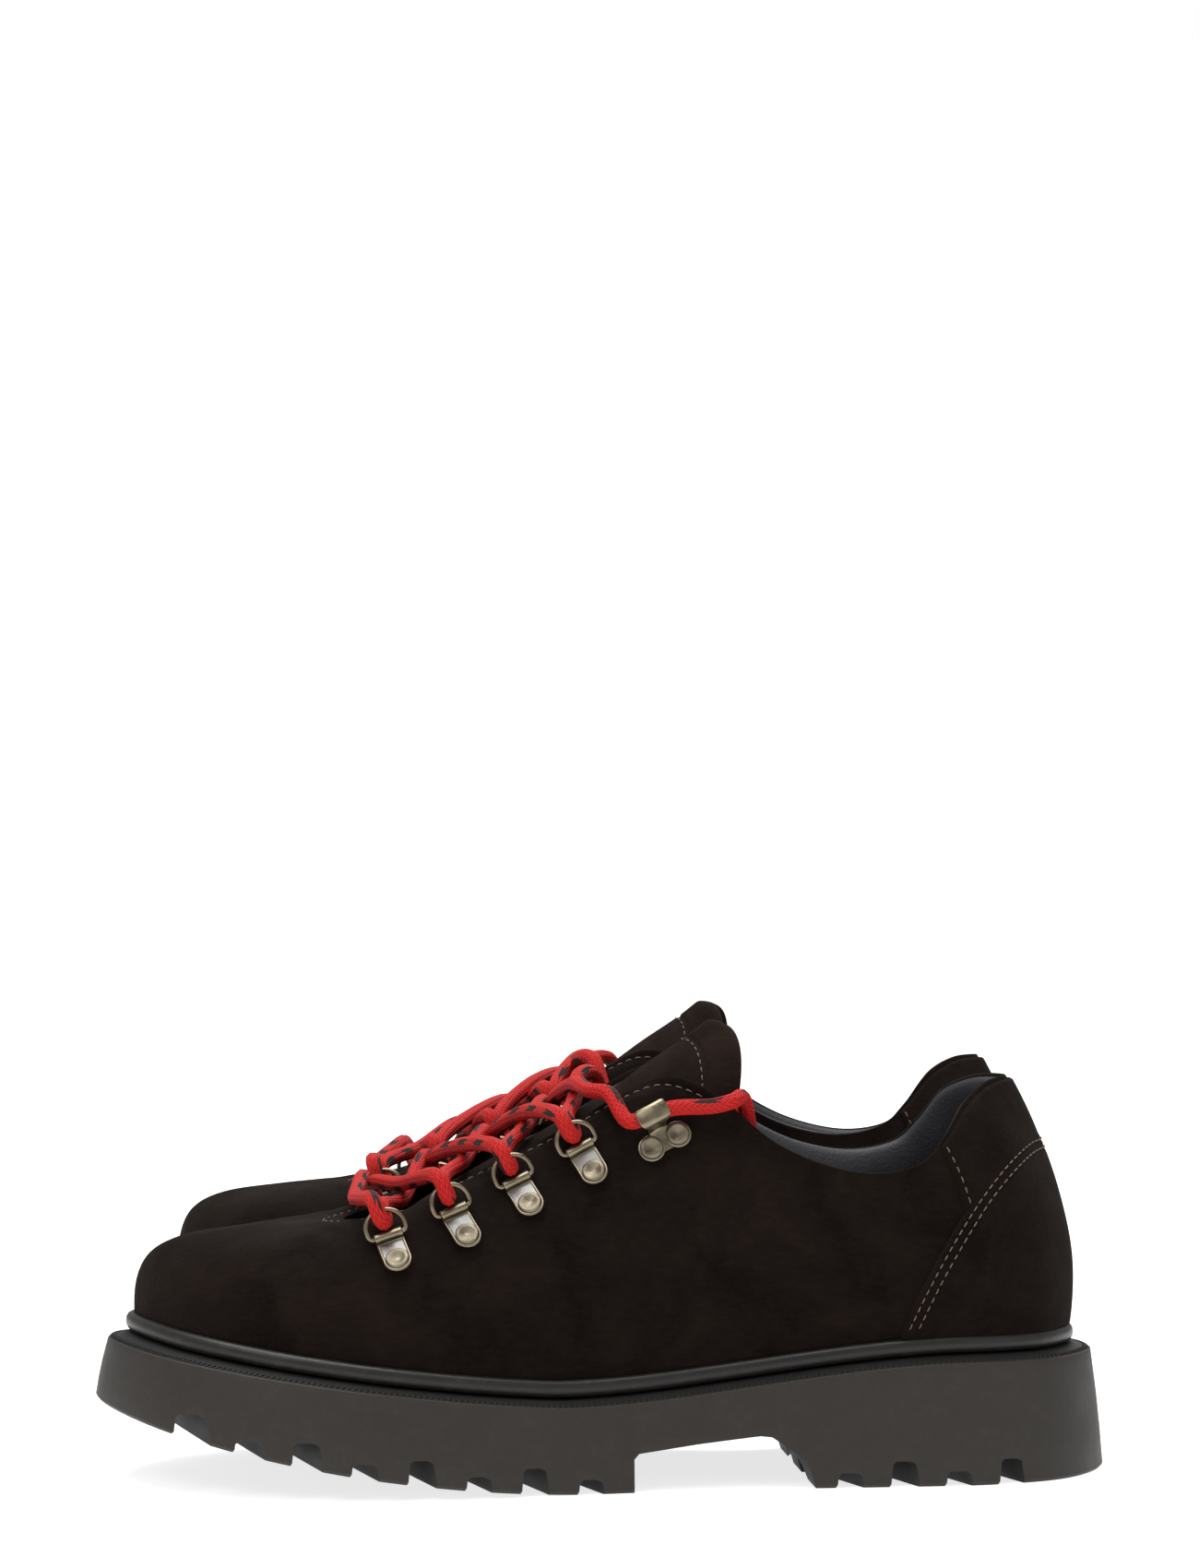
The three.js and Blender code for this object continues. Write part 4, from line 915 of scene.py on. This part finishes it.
RIVET = [(3.55, -0.05), (3.55, 0.42), (3.48, 0.66), (3.3, 0.88), (3.05, 1.02), (2.78, 1.08), (2.5, 1.02), (2.25, 0.9),
         (1.5, 0.5), (0.75, 0.14), (0.25, 0.04), (0.02, 0.04)]
LOW = -AXIS_HEIGHT + 0.35  # underside of the plate
# The rim's rings: inset, where its outline starts, rise over the underside.
RIM = [(0.1, 1.0, 0), (0, 1.0, 0.25), (0, 1.0, 0.6), (0.18, 1.2, 0.86), (0.45, 1.5, 0.92), (0.7, 1.7, 0.84),
       (0.85, 1.9, 0.66)]
rim_points, rim_faces = stacked([(clip_outline(inset, y_from), LOW + rise) for inset, y_from, rise in RIM])
face_points, face_faces = stacked([(clip_outline(0.84, 1.88), LOW + 0.6), (clip_outline(0.86, 1.9), LOW + 0.7)])
barrel_points = []
barrel_end = [(3.9, 1.42), (4.16, 1.36), (4.3, 1.2), (4.3, 0.86), (3.9, 0.8)]
barrel_rings = [(-x, r) for x, r in barrel_end[3::-1]] + barrel_end + [(-3.9, 0.8)]
for x, r in barrel_rings:
    for k in range(28):
        a = 2 * math.pi * k / 28
        barrel_points.append((x, r * math.cos(a), r * math.sin(a)))
barrel_faces = grid_faces(len(barrel_rings), 28, wrap_rows=True, wrap_columns=True)
# The plate runs up into the barrel through a short, lower neck.
NECK = [(3.7, -0.3), (3.7, 2.6), (-3.7, 2.6), (-3.7, -0.3)]
neck_points, neck_faces = stacked([(NECK, LOW + 0.1), (NECK, LOW + 0.55)])
for (way, i), place in CLIPS.items():
    name = f"{way}_{i + 1}"
    solids = ((rim_points, rim_faces), (barrel_points, barrel_faces), (neck_points, neck_faces))
    joined = threads(*((seat(points, place), faces) for points, faces in solids))
    clip = make(f"clip_{name}", *joined, antique_brass, sharp=50)
    make(f"clip_face_{name}", seat(face_points, place), face_faces, plate_steel, sharp=40)
    points, faces, uv = spun(RIVET, (0, RIVET_DOWN, LOW + 0.62))
    make(f"clip_rivet_{name}", seat(points, place), faces, rivet_brass, uv=uv)
    for side in ("left", "right"):
        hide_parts(f"{side}_ring_clip_{name}")

# ---- D-rings ----
# Bent from round wire: a straight bar that turns in the clip's barrel and a bow that the lace
# runs through. Each ring swings on its own.


def ring_place(place):
    at, along, down, off = place
    bow = -down * math.cos(RING_TILT) + off * math.sin(RING_TILT)
    return at, along, bow, np.cross(along, bow)


CORNER, BOW_FROM = 1.5, 2.6  # bend at the bar's ends, and where the bow starts
bend = [(RING_HALF - CORNER + CORNER * math.sin(a), CORNER - CORNER * math.cos(a))
        for a in np.linspace(0.25, math.pi / 2 - 0.1, 5)]
bow_points = [(RING_HALF * math.cos(a), BOW_FROM + (RING_TOP - BOW_FROM) * math.sin(a))
              for a in np.linspace(0, math.pi, 33)]
path = [(x, 0.0) for x in np.linspace(-RING_HALF + CORNER, RING_HALF - CORNER, 9)]
path = np.array(path + bend + bow_points + [(-x, y) for x, y in bend[::-1]])
ring_points = []
for k, p in enumerate(path):
    tangent = unit(path[(k + 1) % len(path)] - path[k - 1])
    radius = WIRE * (0.9 if p[1] == 0 else 1)
    for a in np.linspace(0, 2 * math.pi, 15)[:-1]:
        side_way = radius * math.cos(a)
        ring_points.append((p[0] - tangent[1] * side_way, p[1] + tangent[0] * side_way, radius * math.sin(a)))
ring_faces = grid_faces(len(path), 14, wrap_rows=True, wrap_columns=True)
for (way, i), place in CLIPS.items():
    name = f"{way}_{i + 1}"
    ring = make(f"ring_{name}", seat(ring_points, ring_place(place)), ring_faces, antique_brass, body=f"d_ring_{name}")
    for side in ("left", "right"):
        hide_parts(f"{side}_d_ring_{name}")

# ---- Speed hooks ----
# A brass plate on two rivets at the top of the eyestay; its tongue folds up behind the lace
# and back over it as a broad tab.


def hook_place(way):
    u, v = skin_at(14.6, 105.4, way)
    off = skin_normal(u, v)
    along = np.array([math.cos(math.radians(30)), 0, math.sin(math.radians(30))])
    along = unit(along - off * np.dot(along, off))
    return rib(u, v), along, downward(off, along), off


# The folded strip: y, z, half width.
fold = [(3.4, 1.0, 2.4), (1.6, 1.05, 2.8), (0.4, 1.15, 3.0), (-0.35, 1.5, 3.0), (-0.72, 2.3, 3.05), (-0.8, 3.6, 3.1),
        (-0.8, 5.2, 3.5), (-0.95, 6.35, 4.3), (-1.5, 7.0, 4.8), (-2.4, 7.2, 5.0), (-3.8, 7.18, 5.05), (-5.6, 7.1, 5.0),
        (-6.3, 7.04, 4.7), (-6.6, 7.0, 4.2)]
strip_points = []
for k, (y, z, w) in enumerate(fold):
    y0, z0, _ = fold[max(k - 1, 0)]
    y1, z1, _ = fold[min(k + 1, len(fold) - 1)]
    t = unit(np.array([y1 - y0, z1 - z0]))
    n = (-t[1], t[0])
    half_section = [(-w, -0.2), (-w + 0.3, -0.42), (w - 0.3, -0.42), (w, -0.2)]
    for x, d in half_section + [(x, -d) for x, d in half_section[::-1]]:
        strip_points.append((x, y + n[0] * d, z + n[1] * d))
strip_faces = grid_faces(len(fold), 8, wrap_columns=True)
strip_faces += [tuple(range(8))[::-1], tuple(range(len(fold) * 8 - 8, len(fold) * 8))]
lobe_profile = [(0.05, 0.5), (3.9, 0.5), (4.1, 0.66), (4.1, 1.24), (3.9, 1.42), (3.5, 1.48), (0.05, 1.48)]
bridge_points, bridge_faces = stacked([([(3.4, 1.4), (3.4, 6.9), (-3.4, 6.9), (-3.4, 1.4)], z) for z in (0.55, 1.3)])
HOOK_RIVETS = ((-4.5, 4.0), (4.5, 4.0))
for way, sign in WAYS:
    place = hook_place(sign)
    parts = [(seat(strip_points, place), strip_faces), (seat(bridge_points, place), bridge_faces)]
    for rivet_at in HOOK_RIVETS:
        points, faces, _ = spun(lobe_profile, (*rivet_at, 0))
        parts.append((seat(points, place), faces))
    hook = make(f"speed_hook_{way}", *threads(*parts), antique_brass, sharp=50)
    for k, rivet_at in enumerate(HOOK_RIVETS):
        points, faces, uv = spun([(r * 0.97, z) for r, z in RIVET], (*rivet_at, 1.42))
        make(f"hook_rivet_{way}_{k + 1}", seat(points, place), faces, rivet_brass, uv=uv)
    for side in ("left", "right"):
        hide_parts(f"{side}_lace_hook_{way}")

# ---- Tongue ----
# Padded suede from the vamp up through the lacing; its top is a separate cap sewn on with one
# row of thread. Ridge x, rise over the sole, half width, drop at the sides.
TONGUE = np.array([(-90, 33.5, 12, 3), (-78, 37, 15, 5), (-64, 45, 18, 7), (-44, 59.8, 22, 8.5),
                   (-16, 77.2, 23, 11.5), (1.4, 87.2, 23.5, 14.5), (14.2, 95.4, 23.5, 17.5),
                   (26.3, 102.2, 23.5, 20), (34, 107.6, 23, 22.5)], float)
RIDGE = np.stack([TONGUE[:, 0], 0 * TONGUE[:, 0], sole_top(TONGUE[:, 0]) + TONGUE[:, 1]], axis=1)
SPAN = np.stack([TONGUE[:, 2], TONGUE[:, 3], 0 * TONGUE[:, 0]], axis=1)


def open_curve(points, t):
    """Smooth curve through the points, spaced by the root of their distance, t from 0 to 1."""
    p = min(max(t, 0), 1) * (len(points) - 1)
    i = min(int(p), len(points) - 2)
    w = p - i
    b, c = points[i], points[i + 1]
    a = points[i - 1] if i > 0 else 2 * points[0] - points[1]
    d = points[i + 2] if i + 2 < len(points) else 2 * points[-1] - points[-2]
    g0, g1, g2 = (math.sqrt(max(np.linalg.norm(q - r), 1e-8)) for q, r in ((b, a), (c, b), (d, c)))
    t1 = ((b - a) / g0 - (c - a) / (g0 + g1) + (c - b) / g1) * g1
    t2 = ((c - b) / g1 - (d - b) / (g1 + g2) + (d - c) / g2) * g1
    return b + t1 * w + (-3 * b + 3 * c - 2 * t1 - t2) * w**2 + (2 * b - 2 * c + t1 + t2) * w**3


def tongue_row(section, across, depth):
    """Points across the tongue at one section, at a depth under its face, and the way up there."""
    t = section / 8
    ridge, span = open_curve(RIDGE, t), open_curve(SPAN, t)
    tangent = unit(open_curve(RIDGE, t + 1e-4) - open_curve(RIDGE, t - 1e-4))
    sweep = 6.7 * t**3 * (1 - (1 - np.minimum(np.abs(across) / 0.7, 1.4)) ** 2)
    p = np.stack([ridge[0] + sweep, span[0] * across, ridge[2] - span[1] * across**2], axis=1)
    slope = 2 * span[1] * across / span[0]
    normal = np.stack([np.full_like(across, -tangent[2]), slope * tangent[0], np.full_like(across, tangent[0])], axis=1)
    normal /= np.linalg.norm(normal, axis=1, keepdims=True)
    return p - normal * np.asarray(depth)[..., None], normal


tip_sections = 8 - 0.2 * (1 - np.sin(np.linspace(0.15, math.pi / 2, 9)))
body_sections = [np.linspace(0, 6.8, 80), np.linspace(6.84, 7.16, 13), np.linspace(7.2, 7.8, 12)]
sections = np.concatenate([*body_sections, tip_sections])
across = np.sin(np.linspace(-math.pi / 2, math.pi / 2, 61))
padding = []
MIDDLE, HALF_THICK, CAP_SEAM = 2.45, 2.35, 7
for s in sections:
    tip = math.sqrt(max(1 - ((s - 7.72) / 0.282) ** 2, 0.02)) if s > 7.72 else 1.0
    half_thick = HALF_THICK * tip * np.sqrt(np.clip(1 - np.abs(across) ** 7, 0.0, 1))
    groove = 0.55 * math.exp(-(((s - CAP_SEAM) / 0.06) ** 2)) * (1 - np.abs(across) ** 8)
    top = tongue_row(s, across, MIDDLE - half_thick + groove)[0]
    low = tongue_row(s, across, MIDDLE + half_thick)[0]
    wave = soft_noise(top, 30, 11) * 0.22 - 0.15
    top[:, 2] += wave * (1 - np.abs(across) ** 6)
    padding.append(np.concatenate([top, low[::-1]]))
padding = np.array(padding)
faces = grid_faces(padding.shape[0], padding.shape[1], wrap_columns=True)
width = padding.shape[1]
for base in (0, (padding.shape[0] - 1) * width):
    for i in range(width // 2 - 1):
        faces.append((base + i, base + i + 1, base + width - 2 - i, base + width - 1 - i))
tongue_suede = suede_finish("tongue_suede", (0.0062, 0.0036, 0.0028), (0.0165, 0.0098, 0.0072), 40.0)
tongue = make("tongue_pad", padding, faces, tongue_suede, body=None)
s = np.linspace(-0.93, 0.93, 300)
centre, normal = tongue_row(6.9, s, 0.3)
make("tongue_stitches", *thread_row(centre, normal, pitch=3.0, length=2.1), thread_tan)
seam_at, _ = tongue_row(6.72, np.array([0.0]), 0.0)
seam_end, _ = tongue_row(7.3, np.array([0.0]), 0.0)
for side in ("left", "right"):
    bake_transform(tongue[side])
    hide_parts(f"{side}_tongue", f"{side}_tongue_cap")

# ---- Lace ----
# One round braid, 4.8 mm: a bar between the first rings, then from ring to ring across the
# tongue, under the hooks' tabs and over the collar's edge; the aglets are tucked inside.
LACE = 2.4
WRAP = WIRE + LACE + 0.65


def wrap(place):
    """Round one bow: in from the throat, out through the ring and back over the wire."""
    at, along, bow, plane = ring_place(place)
    off = place[3]
    centre = at + bow * RING_TOP
    outside = plane if np.dot(plane, off) > 0 else -plane
    points = []
    for degrees in (-75, -130, 180, 125, 75, 30):
        a = math.radians(degrees)
        shift = (-1 if 0 < degrees < 179 else 1) * (0.9 if abs(degrees) < 179 else 0)
        points.append(centre + bow * WRAP * math.cos(a) + outside * WRAP * math.sin(a) + along * shift)
    return points


def ridge_height(x):
    low, high = 0.0, 1.0
    for _ in range(30):
        middle = (low + high) / 2
        low, high = (middle, high) if open_curve(RIDGE, middle)[0] < x else (low, middle)
    return open_curve(RIDGE, low)[2]


def crossing(x, layer):
    return np.array([x, 0, ridge_height(x) + 1.05 + 2 * LACE * (0.5 + layer * 1.06)])


def tail(way):
    at, along, down, off = hook_place(way)
    rise = 2.6 if way > 0 else 0
    under = at + off * 4.25 - down * 4.3
    level = along * math.cos(math.radians(12)) + down * math.sin(math.radians(12))
    before = [(-4.5, 18.5, 116.6 + rise), (0.5, 26.6, 116.1 + rise)]
    after = [(31, 33.8, 112.8 + rise), (37, 32.4, 114.1 + rise), (41, 24.6, 114.6 + rise), (43.5, 19.5, 105),
             (43, 18.5, 94), (40, 17.5, 84), (35, 16.5, 75), (25, 15.5, 67)]
    on_side = lambda spots: [np.array([x, way * y, z], float) for x, y, z in spots]
    return on_side(before) + [under - level * 7, under, under + level * 7] + on_side(after)


def cross_x(i):
    rings = [ring_place(CLIPS["lateral", k]) for k in range(4)]
    bows = [(at + bow * (RING_TOP + WIRE))[0] for at, _, bow, _ in rings]
    return (bows[i] + bows[i + 1]) / 2 - 1 if i < 3 else bows[3] + 5


def half_lace(first):
    """From the front bar up: its points, and the index of each bow and crossing."""
    points, marks = [], []
    for i in range(4):
        way = -first if i % 2 else first
        ring = ("lateral" if way < 0 else "medial", i)
        marks.append((len(points) + 3, ring))
        points += wrap(CLIPS[ring])[::-1]
        marks.append((len(points), None))
        points.append(crossing(cross_x(i), 0 if way < 0 else 1))
    return points + tail(first), marks


# The whole line, and the places on it where the lace is parted: each bow and crossing.
outer_half, outer_marks = half_lace(-1)
inner_half, inner_marks = half_lace(1)
bar = [np.array(p, float) for p in ((-73, -19, 84.6), (-74.5, 0, 83), (-73, 19, 84.6))]
route = np.array(outer_half[::-1] + bar + inner_half)
marks = sorted([(len(outer_half) - 1 - k, ring) for k, ring in outer_marks] + [(len(outer_half) + 1, None)]
               + [(len(outer_half) + 3 + k, ring) for k, ring in inner_marks])
FINE = 11
line = np.array([open_curve(route, (k / FINE) / (len(route) - 1)) for k in range((len(route) - 1) * FINE + 1)])
run = np.concatenate([[0], np.cumsum(np.linalg.norm(np.diff(line, axis=0), axis=1))])
SIDES, STRANDS, TWIST_RUN = 40, 8, 95  # the braid's ribs turn one radian in TWIST_RUN
turn = 2 * math.pi * np.arange(SIDES) / SIDES
ribs = LACE * (1.0 - 0.1 * (1 - np.abs(np.cos(turn * STRANDS / 2))) ** 1.6)
normal = np.array([0.3, 0.2, 1.0])
lace_rings = []
for k, p in enumerate(line):
    tangent = unit(line[min(k + 1, len(line) - 1)] - line[max(k - 1, 0)])
    normal = unit(normal - tangent * np.dot(tangent, normal))
    binormal = np.cross(tangent, normal)
    around_it = turn + run[k] / TWIST_RUN
    lace_rings.append(p + ribs[:, None] * (np.cos(around_it)[:, None] * normal + np.sin(around_it)[:, None] * binormal))
lace_rings = np.array(lace_rings)

# Braid: columns of stitches that lean by turns, with black ones in pairs of columns, and painted shade toward the ends
# of each stitch, where it dips.
braid, start, end = effect("braid", [("Map", VECTOR, None), ("Stitch", FLOAT, 5.2)],
                           [("Height", FLOAT), ("Fleck", FLOAT), ("Shade", FLOAT)])
parts = add(braid, "ShaderNodeSeparateXYZ", i0=start.outputs["Map"])
columns = maths(braid, "MULTIPLY", parts.outputs["Y"], 16.0)
cell = maths(braid, "FRACT", columns)
number = maths(braid, "FLOOR", columns)
lean = ranged(braid, maths(braid, "MODULO", number, 2.0), 0.0, 1.0, -1.0, 1.0)
length = maths(braid, "MULTIPLY", parts.outputs["X"], start.outputs["Stitch"])
phase = maths(braid, "ADD", length, maths(braid, "MULTIPLY", cell, lean))
centred = maths(braid, "MULTIPLY_ADD", maths(braid, "FRACT", phase), 2.0, -1.0)
plump = maths(braid, "SUBTRACT", 1.0, maths(braid, "MULTIPLY", centred, centred))
side_on = maths(braid, "MULTIPLY_ADD", cell, 2.0, -1.0)
side_fall = maths(braid, "MULTIPLY_ADD", maths(braid, "MULTIPLY", side_on, side_on), -0.55, plump)
step_along = maths(braid, "MODULO", maths(braid, "FLOOR", phase), 9.0)
black_row = maths(braid, "LESS_THAN", step_along, 3.5)
in_pair = maths(braid, "LESS_THAN", maths(braid, "MODULO", number, 8.0), 1.5)
feed(braid, end, Height=side_fall, Fleck=maths(braid, "MULTIPLY", black_row, in_pair), Shade=plump)

red_braid, tree, shader = material("red_braid", Roughness=0.72, Specular_IOR_Level=0.2)
face_map = add(tree, "ShaderNodeUVMap", {"uv_map": "UVMap"}).outputs["UV"]
stitchwork = add(tree, "ShaderNodeGroup", {"node_tree": braid}, Map=face_map, Stitch=5.2).outputs
# Painted shade: the red darkens from each stitch's crown toward its ends.
reds = two_tone(tree, stitchwork["Shade"], (0.2, 0.0045, 0.0035), (0.5, 0.012, 0.009))
fuzz = noise(tree, object_place(tree), 2200.0, 3.0)
heights = maths(tree, "MULTIPLY_ADD", fuzz, 0.4, stitchwork["Height"])
feed(tree, shader, Base_Color=two_tone(tree, stitchwork["Fleck"], reds, (0.014, 0.008, 0.008)),
     Normal=bump(tree, 0.7, 0.00025, heights))


def lace_piece(name, first, last, body="boot"):
    """The stretch of lace between two places of its line, with its braid's own lengths."""
    rings = lace_rings[first:last + 1]
    wide = np.concatenate([rings, rings[:, :1]], axis=1)
    uv = [(run[first + i] / 10, j / SIDES) for i in range(len(rings)) for j in range(SIDES + 1)]
    faces = grid_faces(len(rings), SIDES + 1)
    return make(name, wide, faces, red_braid, body=body, uv=uv)


first_piece = None
ends = [0] + [k * FINE for k, _ in marks] + [len(line) - 1]
names = [None] + [ring for _, ring in marks] + [None]
for k in range(1, len(ends) - 2):
    ring = names[k] or names[k + 1]
    piece = lace_piece(f"lace_{k:02d}", ends[k], ends[k + 1], body=None)
    far = line[ends[k + 1] if names[k] else ends[k]]
    at, _, bow, _ = ring_place(CLIPS[ring])
    bow_centre = at + bow * RING_TOP
    near = bow_centre + unit(far - bow_centre) * 1.0
    for side in ("left", "right"):
        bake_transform(piece[side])
    first_piece = first_piece or piece
for side in ("left", "right"):
    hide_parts(f"{side}_lace")

aglet_metal = metal_finish("aglet_metal", (0.2, 0.18, 0.15), (0.5, 0.46, 0.4), 300.0)
for name, first, last in (("lateral", 0, ends[1]), ("medial", ends[-2], len(line) - 1)):
    piece = lace_piece(f"lace_end_{name}", first, last)
    stretch = line[first:last + 1]
    stretch = stretch[::-1] if name == "lateral" else stretch
    length = float(np.linalg.norm(np.diff(stretch, axis=0), axis=1).sum()) / 1000
    tip, before = stretch[-1], stretch[-9]
    way = unit(tip - before)
    flat = unit(np.cross(way, (0, 1, 0)))
    frame_of = np.stack([flat, np.cross(way, flat), way])
    points = []
    profile = [(2.45, -13), (2.58, -12.7), (2.58, -0.9), (2.2, -0.1), (1.2, 0.25), (0.1, 0.3)]
    for r, z in profile:
        for a in np.linspace(0, 2 * math.pi, 21)[:-1]:
            points.append(tip + np.array([r * math.cos(a), r * math.sin(a), z]) @ frame_of)
    aglet = make(f"aglet_{name}", points, grid_faces(len(profile), 20, wrap_columns=True), aglet_metal, sharp=40)
    for side in ("left", "right"):
        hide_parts(f"{side}_lace")
